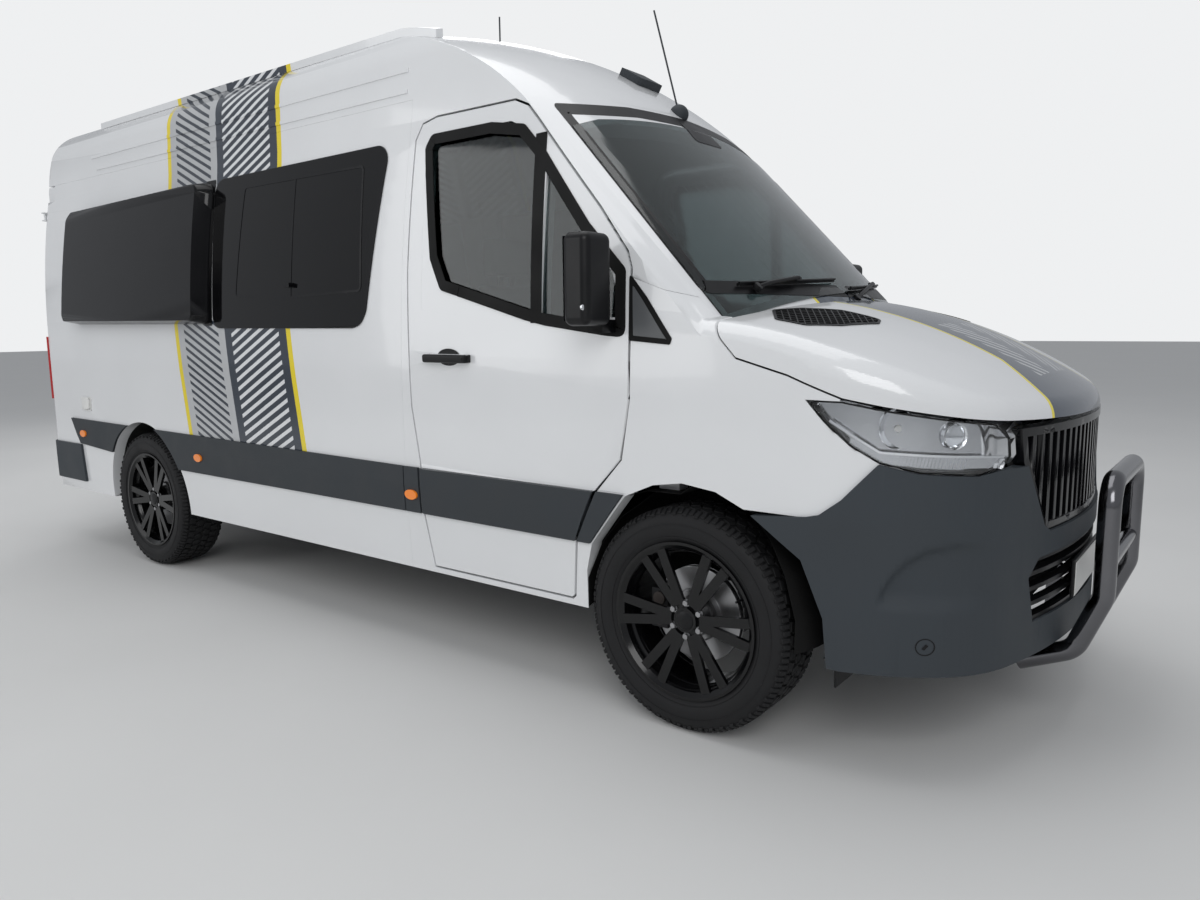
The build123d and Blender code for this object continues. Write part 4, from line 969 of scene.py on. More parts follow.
@dataclass
class Wheels:
    """The four wheels: tyres with a block tread, split-spoke rims, nuts, caps and brakes."""

    radius: float = 0.387
    carcass: float = 0.3775
    half: float = 0.1275
    bead: float = 0.2725
    half_track: tuple[tuple[str, float, float], ...] = (("front", 0.0, 0.866), ("rear", -WHEELBASE, 0.858))
    tread_rows: tuple[tuple[float, float, float, float], ...] = (
        # place across, width, lean in degrees, share of a pitch that it is moved on
        (-0.066, 0.034, -18.0, 0.5), (-0.024, 0.036, 24.0, 0.0), (0.021, 0.036, -24.0, 0.5),
        (0.064, 0.034, 18.0, 0.0),
    )
    wall_ribs: tuple[tuple[float, float, float], ...] = (
        # inner radius, outer radius, place across
        (0.288, 0.2905, 0.1205), (0.333, 0.3355, 0.1265),
    )
    pitches: int = 54
    block_share: float = 0.74
    block_root: float = 0.003
    block_edge: float = 0.0016
    lug_share: float = 0.36
    lug_edge: float = 0.0018
    lug_lean: float = -0.52
    lug_at: Flat = (0.1005, 0.0145)
    rib_rise: float = 0.0012
    rib_root: float = 0.004
    tread_gap: float = 0.0008
    nuts: int = 6
    nut_circle: float = 0.058

    def carcass_outline(self) -> list[Flat]:
        """Draws the tyre's section as (radius, place across) points.

        Returns:
            The closed outline.
        """
        half = (
            (0.258, 0.104), (self.bead, 0.1085), (0.285, 0.1175), (0.300, 0.1245), (0.318, self.half),
            (0.336, 0.1262), (0.350, 0.1225), (0.3615, 0.1175), (0.3705, 0.1095), (self.carcass, 0.098),
            (self.carcass + 0.0008, 0.05),
        )
        inner = ((0.352, 0.09), (0.345, 0.112), (0.318, 0.118), (0.290, 0.110), (0.268, 0.098))
        outer = list(half) + [(r, -h) for r, h in reversed(half)]
        return outer + [(r, -h) for r, h in reversed(inner)] + list(inner)

    def tread(self, shape: Shape, middle: Vector, axis: Vector) -> None:
        """Adds the tread's blocks, the shoulder lugs and the ribs on the side wall.

        Args:
            shape: The tyre's shape.
            middle: The wheel's centre.
            axis: The direction out of the van.
        """
        angle = math.tau / self.pitches
        first: list = []
        run = self.carcass * angle * self.block_share
        for across, width, lean, moved in self.tread_rows:
            low, high = self.carcass - self.block_root, self.radius - self.tread_gap
            block = shape.block((-run / 2, -width / 2, low), (run / 2, width / 2, high))
            shape.move(block, Matrix.Rotation(math.radians(lean), 4, "Z"))
            block = shape.round_edges(block, self.block_edge, 1)
            shape.move(block, Matrix.Rotation(angle * moved, 4, "Y") @ Matrix.Translation((0.0, across, 0.0)))
            first += block
        run = self.carcass * angle * self.lug_share
        for way in (-1, 1):
            for moved, reach in ((0.0, 0.0), (0.5, 0.007)):
                lug = shape.block((-run / 2, -0.013, -0.012), (run / 2, 0.013 + reach, 0.0085), self.lug_edge, 1)
                shape.move(lug, Matrix.Rotation(self.lug_lean, 4, "X"))
                shape.move(lug, Matrix.Translation((0.0, self.lug_at[0], self.radius - self.lug_at[1])))
                if way < 0:
                    shape.move(lug, Matrix.Rotation(math.pi, 4, "Z"))
                shape.move(lug, Matrix.Rotation(angle * (moved + 0.25 * way), 4, "Y"))
                first += lug
        shape.move(first, Matrix.Translation(middle))
        shape.repeat(first, self.pitches, middle, axis)
        for low, high, flank in self.wall_ribs:
            for way in (-1, 1):
                root, top = flank - self.rib_root, flank + self.rib_rise
                ring = ((low, root), (low, top), (high, top), (high, root))
                shape.turn([(r, h * way) for r, h in ring], middle, axis, 72)

    def dress_rim(self, tag: str, middle: Vector, out: Vector) -> None:
        """Dresses a rim and adds its nuts, cap and valve.

        Args:
            tag: The wheel's place, as in "front_right".
            middle: The wheel's centre.
            out: The direction out of the van.
        """
        dress("rim_" + tag, "rim_black", "rim", 30.0, 0.0022)
        bolts, cap = Shape(), Shape()
        start = middle + out * 0.088 + Vector((0.0, 0.0, self.nut_circle))
        nut = bolts.rod(start, out, 0.0105, 0.018, 6, edge=0.0012)
        nut += bolts.rod(start - out * 0.005, out, 0.0135, 0.008, 20, edge=0.001)
        bolts.repeat(nut, self.nuts, middle, out)
        bolts.finish("wheel_nuts_" + tag, "brushed_steel", "steel", body_of("rim_" + tag))
        dome = [(0.0, 0.098), (0.0, 0.1065), (0.012, 0.1060), (0.024, 0.1040), (0.0315, 0.1015), (0.034, 0.098)]
        cap.turn(dome, middle, out, 48, closed=False)
        valve = middle + out * 0.094 + Vector((0.205, 0.0, 0.105))
        cap.rod(valve, out + Vector((-0.3, 0.0, -0.15)), 0.0042, 0.034, 12, edge=0.001)
        cap.finish("wheel_cap_" + tag, "satin_black", "rim", body_of("rim_" + tag))

    def brake(self, tag: str, middle: Vector, out: Vector) -> None:
        """Adds the bright faces of a brake disc, and the front calipers' pistons and bridge.

        Args:
            tag: The wheel's place, as in "front_right".
            middle: The wheel's centre.
            out: The direction out of the van.
        """
        axle, side = tag.split("_")
        carrier = "root" if axle == "rear" else body_of("knuckle_" + side)
        disc = Shape()
        for low, high in ((0.0115, 0.0140), (-0.0140, -0.0115)):
            ring = [(0.094, low), (0.094, high), (0.163, high), (0.1665, (low + high) / 2), (0.163, low)]
            disc.turn(ring, middle, out, 64)
        disc.turn([(0.071, 0.010), (0.071, 0.030), (0.086, 0.030), (0.092, 0.0135), (0.094, 0.0125)], middle, out, 48)
        disc.finish("brake_disc_" + tag, "brushed_steel", "steel", carrier)
        if axle == "front":
            caliper = Shape()
            for z in (-0.036, 0.036):
                caliper.rod(middle + out * 0.038 + Vector((-0.142, 0.0, z)), out, 0.024, 0.010, 24, edge=0.002)
            bridge = middle + out * 0.035 + Vector((-0.142, 0.0, 0.0))
            half = Vector((0.028, 0.002, 0.014))
            caliper.block(bridge - half, bridge + half, 0.002)
            caliper.finish("caliper_" + tag, "cast_iron", "steel", carrier)

    def build(self) -> None:
        """Builds all four wheels."""
        for axle, x, half_track in self.half_track:
            for side in (-1, 1):
                tag = f"{axle}_{side_name(side)}"
                middle, out = at(x, side * half_track, self.radius), Vector((0.0, side, 0.0))
                tyre = Shape()
                tyre.turn(self.carcass_outline(), middle, out, 108)
                self.tread(tyre, middle, out)
                tyre.finish("tread_" + tag, "tyre_rubber", "tyre", body_of("tyre_" + tag), 38.0, ("tyre_" + tag,))
                self.dress_rim(tag, middle, out)
                self.brake(tag, middle, out)


def smooth_step(value: float) -> float:
    """Eases a value from 0 to 1."""
    t = min(max(value, 0.0), 1.0)
    return t * t * (3.0 - 2.0 * t)


def segment_gap(point: Vector, start: Sequence[float], end: Sequence[float]) -> float:
    """Measures how far a flat point lies from a straight line's piece.

    Args:
        point: The point.
        start: The piece's start.
        end: Its end.

    Returns:
        The distance.
    """
    first, run = Vector(start), Vector(end) - Vector(start)
    t = min(max((point - first).dot(run) / max(run.length_squared, 1e-12), 0.0), 1.0)
    return (point - first - run * t).length


def inside(point: Sequence[float], outline: Sequence[Flat]) -> bool:
    """Tells whether a flat point lies inside an outline."""
    found = False
    for (ax, ay), (bx, by) in zip(outline, [*outline[1:], outline[0]]):
        if (ay > point[1]) != (by > point[1]) and point[0] < (bx - ax) * (point[1] - ay) / (by - ay) + ax:
            found = not found
    return found


@dataclass
class Headlamps:
    """Two clear lamps with a recessed silver housing, bowls and a ribbed lower strip."""

    depth: float = 0.042
    cover: float = 0.0025
    least_facing: float = 0.08
    bowl_at: tuple[float, float, float] = (0.668, 0.885, 1.072)
    bowl_radius: float = 0.056
    second_at: tuple[float, float, float] = (0.806, 0.802, 1.050)
    second_radius: float = 0.035
    facing: tuple[float, float, float] = (0.80, 0.60, 0.02)
    outline: tuple[Flat, ...] = (
        (0.430, 1.152), (0.537, 1.150), (0.650, 1.127), (0.900, 1.084), (0.925, 1.040), (0.928, 0.985),
        (0.912, 0.955), (0.870, 0.937), (0.740, 0.947), (0.640, 0.973), (0.560, 1.022), (0.485, 1.090),
    )
    strip_top: tuple[Flat, ...] = (
        (0.500, 1.093), (0.561, 1.055), (0.640, 1.005), (0.762, 0.997), (0.880, 0.990), (0.920, 0.985),
    )

    def outer_faces(self, shape: Shape) -> list:
        """Finds the faces of the lamps that lie in the nose's surface.

        Args:
            shape: A copy of the lamps.

        Returns:
            The faces.
        """
        return [
            f for f in shape.bm.faces
            if f.normal.x > -self.least_facing
            and f.normal.y * math.copysign(1.0, f.calc_center_median().y) > self.least_facing
        ]

    def housing(self) -> None:
        """Builds the recessed housing that stands for the CAD bodies."""
        shape = Shape().take("headlamps")
        faces = set(self.outer_faces(shape))
        for vert in {v for f in faces for v in f.verts}:
            push = sum((f.normal for f in vert.link_faces if f in faces), Vector())
            push.z = 0.0
            vert.co -= push.normalized() * self.depth
        shape.finish("lamp_housings", "lamp_silver", "glazing", smooth=40.0, replaces=("headlamps",))

    def covers(self) -> None:
        """Builds the clear covers over the housings."""
        shape = Shape().take("headlamps")
        outer = set(self.outer_faces(shape))
        bmesh.ops.delete(shape.bm, geom=[f for f in shape.bm.faces if f not in outer], context="FACES")
        bmesh.ops.solidify(shape.bm, geom=list(shape.bm.faces), thickness=self.cover)
        shape.finish("lamp_covers", "clear_lens", "glazing", smooth=40.0)

    def bowls(self) -> None:
        """Builds the bright bowls, their bulbs and the round second lens."""
        bright, bulbs, lens = Shape(), Shape(), Shape()
        wide, small = self.bowl_radius, self.second_radius
        for side in (-1, 1):
            axis = Vector((self.facing[0], self.facing[1] * side, self.facing[2])).normalized()
            spot = at(self.bowl_at[0], self.bowl_at[1] * side, self.bowl_at[2])
            curve = [(wide * t, -0.030 * (1.0 - t * t)) for t in (0.0, 0.2, 0.4, 0.6, 0.75, 0.9, 1.0)]
            back = [(wide * t + 0.003, -0.030 * (1.0 - t * t) - 0.003) for t in (1.0, 0.75, 0.4)] + [(0.0, -0.034)]
            bright.turn(curve + [(wide + 0.004, 0.002)] + back, spot, axis, 48, closed=False)
            bulbs.rod(spot - axis * 0.012, axis, 0.007, 0.030, 20, edge=0.003)
            bulbs.rod(spot + axis * 0.004, axis, 0.011, 0.003, 20, edge=0.001)
            spot = at(self.second_at[0], self.second_at[1] * side, self.second_at[2])
            curve = [(small * t, -0.022 * (1.0 - t * t)) for t in (0.0, 0.3, 0.6, 0.85, 1.0)]
            bright.turn(curve + [(small + 0.004, 0.003), (small + 0.004, -0.012), (0.0, -0.026)], spot, axis, 40,
                        closed=False)
            dome = [(0.0, 0.010), (0.012, 0.009), (0.022, 0.006), (small - 0.002, 0.0), (small - 0.002, -0.004),
                    (0.0, -0.004)]
            lens.turn(dome, spot, axis, 40, closed=False)
        bright.finish("lamp_bowls", "bright_chrome", "glazing")
        bulbs.finish("lamp_bulbs", "blank_plate", "glazing")
        lens.finish("lamp_second_lenses", "clear_lens", "glazing")

    def strips(self) -> None:
        """Builds the ribbed lower strips and the bright ledges above them, behind the covers."""
        surface = Surface("headlamps")
        for side in (-1, 1):
            view = on_flank(side)
            tag = side_name(side)
            low, high = Laid(surface, view), Laid(surface, view)
            low.strip([(x, z - 0.018) for x, z in self.strip_top[1:]], 0.030, 0.0015, -0.012, 0.01)
            for x, z in split_long(self.strip_top[1:], 0.009)[:36]:
                low.strip([(x - 0.003, z - 0.034), (x + 0.003, z - 0.003)], 0.0035, 0.003, -0.011, 0.02)
            high.strip(self.strip_top, 0.006, 0.010, -0.016, 0.02)
            low.finish("lamp_ribs_" + tag, "lamp_silver", "glazing")
            high.finish("lamp_ledge_" + tag, "bright_chrome", "glazing")
            rim = Laid(Surface("headlamps", "front_bumper", "front_wings", "bonnet"), view)
            rim.frame_band(self.outline, 0.0045, 0.0008, 0.0002, 0.02, 0.02)
            rim.finish("lamp_seal_" + tag, "rubber_seal", "black_plastic")

    def build(self) -> None:
        """Builds both lamps."""
        self.housing()
        self.covers()
        self.bowls()
        self.strips()


@dataclass
class Nose:
    """The bumper's scoops, both grilles' dark backs, the blank plate and the bull bar's fixings."""

    grille: tuple[Flat, ...] = (
        (-0.606, 1.045), (-0.588, 0.962), (-0.466, 0.760), (-0.426, 0.738), (0.426, 0.738), (0.466, 0.760),
        (0.588, 0.962), (0.606, 1.045),
    )
    lower: tuple[Flat, ...] = (
        (-0.512, 0.460), (-0.550, 0.598), (-0.495, 0.650), (0.495, 0.650), (0.550, 0.598), (0.512, 0.460),
    )
    scoop: tuple[Flat, ...] = (
        (0.640, 0.545), (0.645, 0.575), (0.659, 0.607), (0.681, 0.650), (0.715, 0.692), (0.763, 0.725),
        (0.825, 0.742), (0.930, 0.740), (1.040, 0.700), (1.040, 0.560), (0.850, 0.534),
    )
    scoop_cuts: tuple[tuple[tuple[float, float, float], float, float], ...] = (
        # across which axis the bumper is cut, first cut, last cut
        ((1.0, 0.0, 0.0), 0.600, 1.000), ((0.0, 0.0, 1.0), 0.520, 0.770),
    )
    scoop_step: float = 0.014
    scoop_start: float = 0.60
    scoop_fades: tuple[float, float, float, float] = (0.018, 0.05, 1.0, 0.22)
    scoop_depth: float = 0.020
    mesh_pitch: float = 0.021
    plate_at: Flat = (1.052, 0.540)
    plate_size: Flat = (0.26, 0.0555)

    def bumper(self) -> None:
        """Dresses the bumper and sinks the scoops into its corners."""
        shape = Shape().take("front_bumper")
        for normal, low, high in self.scoop_cuts:
            for index in range(int((high - low) / self.scoop_step) + 1):
                place = Vector(normal) * (low + index * self.scoop_step)
                bmesh.ops.bisect_plane(
                    shape.bm, geom=[*shape.bm.faces, *shape.bm.edges, *shape.bm.verts], dist=FINE_WELD,
                    plane_co=at(*place), plane_no=normal,
                )
        top, foot = self.scoop[:8], [*self.scoop[9:], self.scoop[0]]
        top_fade, foot_fade, front, front_fade = self.scoop_fades
        for vert in shape.bm.verts:
            flat = Vector((vert.co.x - AXLE_X, vert.co.z))
            if abs(vert.co.y) < self.scoop_start or not inside(flat, self.scoop):
                continue
            depth = self.scoop_depth * smooth_step((front - flat.x) / front_fade)
            for line, fade in ((top, top_fade), (foot, foot_fade)):
                depth *= smooth_step(min(segment_gap(flat, a, b) for a, b in zip(line, line[1:])) / fade)
            vert.co -= Vector((0.55, math.copysign(0.83, vert.co.y), 0.0)) * depth
        shape.finish("bumper_front_skin", "bumper_plastic", "bumper", smooth=30.0, replaces=("front_bumper",))

    def grille_backs(self) -> None:
        """Builds the dark plates behind the bars, with a fine mesh on the upper one."""
        back, mesh = Shape(), Shape()
        for x, outline in ((0.8925, self.grille), (0.9220, self.lower)):
            back.slab([at(x, y, z) for y, z in outline], (0.004, 0.0, 0.0), 0.001, 1)
        back.finish("grille_backs", "pitch_black", "black_plastic")
        for row in range(14):
            for column in range(-27, 28):
                y, z = (column + 0.5 * (row % 2)) * self.mesh_pitch, 0.752 + row * self.mesh_pitch
                if inside((y, z), shrunk(self.grille, 0.012)):
                    mesh.rod(at(0.899, y, z), (1.0, 0.0, 0.0), 0.0085, 0.006, 6)
        mesh.finish("grille_mesh", "gloss_black", "black_plastic", smooth=20.0)

    def plate(self) -> None:
        """Builds the blank front plate on its holder, and the towing eye's covers."""
        x, z = self.plate_at
        half, rise = self.plate_size
        plate, holder = Shape(), Shape()
        plate.block(at(x, -half, z - rise), at(x + 0.003, half, z + rise), 0.0012)
        plate.finish("front_plate", "blank_plate", "body_white")
        half, rise = half + 0.006, rise + 0.006
        holder.block(at(x - 0.012, -half, z - rise), at(x - 0.0005, half, z + rise), 0.003)
        holder.finish("front_plate_holder", "satin_black", "black_plastic")
        for side in (-1, 1):
            ring = Laid(Surface("front_bumper"), on_flank(side))
            circle = [(0.771 + 0.024 * math.cos(a), 0.438 + 0.026 * math.sin(a))
                      for a in (math.tau * k / 20 for k in range(20))]
            ring.frame_band(circle, 0.0028, 0.0012, 0.0, 0.002, 0.02)
            ring.strip([(0.766, 0.431), (0.776, 0.445)], 0.008, 0.0015, 0.0)
            ring.finish("towing_cover_" + side_name(side), "satin_black", "bumper")

    def under_trim(self) -> None:
        """Builds the small air deflectors ahead of the front wheels."""
        flaps = Shape()
        for side in (-1, 1):
            y = sorted((0.62 * side, 0.905 * side))
            flaps.block(at(0.505, y[0], 0.255), at(0.513, y[1], 0.352), 0.003)
            flaps.block(at(0.470, y[0], 0.340), at(0.560, y[1], 0.347), 0.002)
        flaps.finish("air_deflectors", "satin_black", "bumper")

    def bar(self) -> None:
        """Dresses the bull bar and adds the bolts and washers of its feet."""
        dress("bull_bar", "bar_steel", "bar_metal", 34.0, 0.001)
        bolts = Shape()
        for side in (-1, 1):
            for x in (0.888, 0.912):
                place = at(x, 0.302 * side, 0.400)
                bolts.rod(place, (0.0, side, 0.0), 0.008, 0.010, 6, edge=0.001)
                bolts.rod(place - Vector((0.0, 0.004 * side, 0.0)), (0.0, side, 0.0), 0.0115, 0.003, 20, edge=0.0006)
        bolts.finish("bull_bar_bolts", "brushed_steel", "steel")

    def build(self) -> None:
        """Builds the nose's details."""
        self.bumper()
        self.grille_backs()
        self.plate()
        self.under_trim()
        self.bar()


@dataclass
class BonnetDetail:
    """The honeycomb air inlets in the bonnet's back corners and the wipers on the windscreen."""

    inlet: tuple[Flat, ...] = (
        (0.172, 0.700), (0.228, 0.590), (0.325, 0.486), (0.460, 0.470), (0.478, 0.535), (0.420, 0.705),
        (0.345, 0.815), (0.245, 0.825),
    )
    rib_pitch: float = 0.0247
    rib_lean: float = 0.577
    feet: tuple[tuple[float, float, float, float], ...] = (
        # pivot's Y, blade's start, blade's end, blade's rise at its end
        (-0.620, -0.690, -0.060, 0.030), (0.070, 0.030, 0.660, 0.030),
    )

    def inlets(self) -> None:
        """Builds both inlets: a dark bed, a rim and crossing ribs."""
        surface = Surface("bonnet")
        for side in (-1, 1):
            tag = side_name(side)
            outline = [(x, y * side) for x, y in self.inlet]
            bed = Laid(surface, ON_TOP).patch(outline, 0.0006, 0.0004, 0.03, 0.05)
            bed.finish("inlet_bed_" + tag, "pitch_black", "black_plastic", "bonnet")
            ribs = Laid(surface, ON_TOP).frame_band(outline, 0.009, 0.003, 0.0003, 0.03, 0.03)
            inner = shrunk(outline, 0.006)
            for lean in (-self.rib_lean, self.rib_lean):
                for index in range(-30, 60):
                    start = index * self.rib_pitch
                    line = [(start + lean * t * 0.012, side * t * 0.012) for t in range(34, 76)]
                    run = [p for p in line if inside(p, inner)]
                    if len(run) > 2:
                        ribs.strip([run[0], run[-1]], 0.0035, 0.0025, 0.0006, 0.06)
            ribs.finish("inlet_ribs_" + tag, "satin_black", "black_plastic", "bonnet")

    def wipers(self) -> None:
        """Builds both wipers, which stand for the CAD blades."""
        surface = Surface("windscreen", "cab_frame")
        shape = Shape()
        for pivot, low, high, rise in self.feet:
            points = [surface.touch((3.2, low + (high - low) * t, 1.500 + rise * t), ON_NOSE[0], 0.010)
                      for t in (index / 8 for index in range(9))]
            shape.tube(points, 0.0055, 8)
            shape.tube([p + Vector((0.006, 0.0, 0.006)) for p in points], 0.0045, 8)
            middle = points[4] + Vector((0.016, 0.0, 0.016))
            foot = surface.touch((3.2, pivot, 1.485), ON_NOSE[0], 0.020)
            shape.tube([foot, foot * 0.75 + middle * 0.25 + Vector((0.006, 0, 0.006)), middle], 0.008, 10)
            shape.rod(foot, Vector((0.7, 0.0, 0.7)), 0.017, 0.020, 20, edge=0.003)
            shape.block(middle - Vector((0.012, 0.022, 0.012)), middle + Vector((0.004, 0.022, 0.004)), 0.003)
        shape.finish("wiper_blades", "satin_black", "black_plastic", smooth=40.0, replaces=("wipers",))

    def build(self) -> None:
        """Builds the inlets and wipers."""
        self.inlets()
        self.wipers()


@dataclass
class Glazing:
    """Every window: panes, black surrounds, the quarter panes and the sliding panes' frames."""

    door: tuple[Flat, ...] = (
        (-1.130, 1.516), (-1.195, 1.640), (-1.262, 2.082), (-1.230, 2.133), (-0.900, 2.134), (-0.728, 2.104),
        (-0.610, 1.990), (-0.394, 1.724), (-0.228, 1.560), (-0.222, 1.332), (-0.309, 1.338), (-0.580, 1.374),
        (-0.677, 1.394), (-1.033, 1.490),
    )
    filler: tuple[Flat, ...] = (
        (-1.252, 1.428), (-1.266, 2.060), (-1.200, 1.660), (-1.135, 1.535), (-1.020, 1.492), (-0.680, 1.398),
        (-0.640, 1.384), (-0.830, 1.384),
    )
    quarter: tuple[Flat, ...] = (
        (-0.212, 1.545), (-0.140, 1.466), (-0.037, 1.329), (-0.044, 1.309), (-0.206, 1.322),
    )
    sliding: tuple[Flat, ...] = (
        (-2.612, 1.525), (-2.566, 2.060), (-1.640, 2.060), (-1.620, 1.525), (-2.125, 1.509),
    )
    post: tuple[Flat, ...] = (
        (-2.900, 1.388), (-2.930, 2.122), (-2.846, 2.122), (-2.834, 1.388),
    )

    def doors(self) -> None:
        """Surrounds the front doors' windows and closes their lower corners."""
        for side in (-1, 1):
            tag, flank, view = side_name(side), Flank(side), on_flank(side)
            body = body_of("front_door_" + tag)
            fill = Laid(flank, view).patch(self.filler, 0.010, -0.0105, 0.004, 0.06)
            fill.finish("window_corner_" + tag, "body_paint", "body_white", body)
            surround = Laid(flank, view).frame_band(self.door, 0.042, 0.0032, 0.0003, 0.035, 0.03)
            surround.strip([(-0.622, 1.384), (-0.640, 2.060)], 0.052, 0.0026, 0.0003, 0.05)
            surround.finish("window_surround_" + tag, "rubber_seal", "black_plastic", body)
            edge = Laid(flank, view).patch(self.quarter, 0.0030, 0.0005, 0.008, 0.04)
            edge.finish("quarter_surround_" + tag, "rubber_seal", "black_plastic")
            pane = Laid(flank, view).patch(shrunk(self.quarter, 0.018), 0.0008, 0.0036, 0.004, 0.04)
            pane.finish("quarter_pane_" + tag, "quarter_grey", "black_plastic")

    def living_windows(self) -> None:
        """Draws the sliding panes' frames and the surround of the side windows."""
        surface = Surface("side_windows")
        for side in (-1, 1):
            view = on_flank(side)
            shape = Laid(surface, view).frame_band(self.sliding, 0.010, 0.0016, 0.0002, 0.03, 0.05)
            shape.strip([(-2.140, 1.515), (-2.140, 2.058)], 0.012, 0.0016, 0.0002, 0.08)
            y = sorted((0.975 * side, 1.0 * side))
            shape.block(at(-2.160, y[0], 1.560), at(-2.120, y[1], 1.580), 0.002)
            shape.finish("sliding_frame_" + side_name(side), "gloss_black", "black_plastic")
            post = Laid(Flank(side), view).patch(self.post, 0.0030, 0.0004, 0.006, 0.10)
            post.finish("window_post_" + side_name(side), "privacy_glass", "glazing")

    def screen(self) -> None:
        """Draws the windscreen's black border and the sensor's cover at its top."""
        border = Laid(Surface("windscreen", "cab_frame", "roof_shell"), ON_NOSE)
        outline = [
            (-0.846, 1.474), (-0.796, 2.190), (-0.400, 2.236), (0.0, 2.252), (0.400, 2.236), (0.796, 2.190),
            (0.846, 1.474), (0.0, 1.474),
        ]
        border.frame_band(outline, 0.045, 0.0012, 0.0002, 0.03, 0.05)
        border.patch([(-0.11, 2.13), (-0.09, 2.235), (0.09, 2.235), (0.11, 2.13)], 0.0012, 0.0002, 0.02, 0.05)
        border.finish("screen_border", "satin_black", "black_plastic", smooth=60.0)

    def build(self) -> None:
        """Builds the windows' details."""
        self.doors()
        self.living_windows()
        self.screen()


@dataclass
class DoorFurniture:
    """Handles, mirrors, the sliding door's rail and the hook-up flap."""

    handle: tuple[float, float, float] = (-1.080, 1.250, 0.122)
    slide_x: float = -2.640
    strip: tuple[Flat, ...] = (
        (-1.2565, 0.6065), (-1.2595, 0.620), (-1.2615, 0.7935), (-0.3635, 0.7935), (-0.4450, 0.6065),
    )

    def pull_handle(self, shape: Shape, middle: Vector, along: Vector, outward: Vector, reach: float) -> None:
        """Adds a pull handle: a rounded grip over a shallow cup, with a blank lock cover.

        Args:
            shape: Where it is added.
            middle: Its centre, on the body's surface.
            along: Its length's direction.
            outward: The direction out of the body.
            reach: Half its length.
        """
        up = outward.cross(along).normalized()
        turn = Matrix((along, up, outward)).transposed().to_4x4()
        place = Matrix.Translation(middle) @ turn
        grip = shape.block((-reach, -0.0165, 0.010), (reach, 0.0165, 0.036), 0.009, 3)
        grip += shape.block((-reach, -0.0165, -0.004), (-reach + 0.034, 0.0165, 0.030), 0.006, 2)
        grip += shape.block((reach - 0.034, -0.0165, -0.004), (reach, 0.0165, 0.030), 0.006, 2)
        cup = shape.rod((0.0, 0.004, 0.001), (0.0, 0.0, 1.0), 0.034, 0.003, 32, edge=0.0012)
        shape.move(cup, Matrix.Diagonal((1.9, 1.0, 1.0, 1.0)))
        lock = shape.rod((reach - 0.018, 0.0, 0.036), (0.0, 0.0, 1.0), 0.007, 0.004, 20, edge=0.001)
        shape.move(grip + cup + lock, place)

    def handles(self) -> None:
        """Builds the handles of every door."""
        x, z, reach = self.handle
        rows = (
            # name, CAD node that carries it, X, side
            ("door_handle_right", "front_door_right", x, -1), ("door_handle_left", "front_door_left", x, 1),
            ("sliding_door_handle", "sliding_door", self.slide_x, 1),
        )
        for name, node, place, side in rows:
            shape, out = Shape(), Vector((0.0, side, -0.04)).normalized()
            self.pull_handle(shape, at(place, side * Flank(side).half(z), z), Vector((1.0, 0.0, 0.0)), out, reach)
            shape.finish(name, "satin_black", "black_plastic", body_of(node))
        shape, back = Shape(), at(-4.905, -0.085, 1.260)
        self.pull_handle(shape, back, Vector((0.0, 0.0, 1.0)), Vector((-1.0, 0.0, 0.0)), 0.105)
        shape.finish("rear_door_handle", "satin_black", "black_plastic", body_of("rear_door_right"))

    def strips(self) -> None:
        """Lays the dark face of the raised strip across each front door."""
        for side in (-1, 1):
            name = "front_door_" + side_name(side)
            face = Laid(Surface(name), on_flank(side)).patch(self.strip, 0.0008, 0.0003, 0.002)
            face.finish("door_strip_" + side_name(side), "trim_plastic", "black_plastic", body_of(name))

    def rail(self) -> None:
        """Builds the sliding door's rail on the left side."""
        rail = Laid(Surface("side_panel_left", "sliding_door"), on_flank(1))
        rail.strip([(-4.300, 1.300), (-2.860, 1.300)], 0.030, 0.010, 0.0003, 0.3)
        rail.strip([(-4.300, 1.318), (-2.860, 1.318)], 0.006, 0.018, 0.0003, 0.3)
        rail.finish("sliding_rail", "satin_black", "black_plastic")

    def mirrors(self) -> None:
        """Dresses the mirrors and adds their glass, surround and indicator."""
        for side in (-1, 1):
            tag = side_name(side)
            body = body_of("mirror_" + tag)
            dress("mirror_" + tag, "satin_black", "mirror_black", 34.0)
            centre = at(-0.292, 1.101 * side, 1.522)
            glass, rim, lamp = Shape(), Shape(), Shape()
            back = centre.x - 0.0525
            y = sorted((centre.y - 0.054, centre.y + 0.054))
            for low, high in ((1.462, 1.655), (1.394, 1.452)):
                glass.block((back - 0.0022, y[0], low), (back - 0.0005, y[1], high), 0.0006)
            glass.finish("mirror_glass_" + tag, "bright_chrome", "mirror_black", body)
            rim.block((back - 0.0014, y[0] - 0.005, 1.388), (back - 0.0002, y[1] + 0.005, 1.661), 0.0004)
            y = sorted((side * 1.031, side * 1.1724))
            rim.block((centre.x - 0.010, y[0], 1.400), (centre.x - 0.006, y[1], 1.640), 0.001)
            rim.finish("mirror_rim_" + tag, "gloss_black", "mirror_black", body)
            y = sorted((side * 1.150, side * 1.1724))
            lamp.block((centre.x + 0.006, y[0], 1.420), (centre.x + 0.040, y[1], 1.442), 0.006)
            lamp.finish("mirror_indicator_" + tag, "lamp_silver", "mirror_black", body)

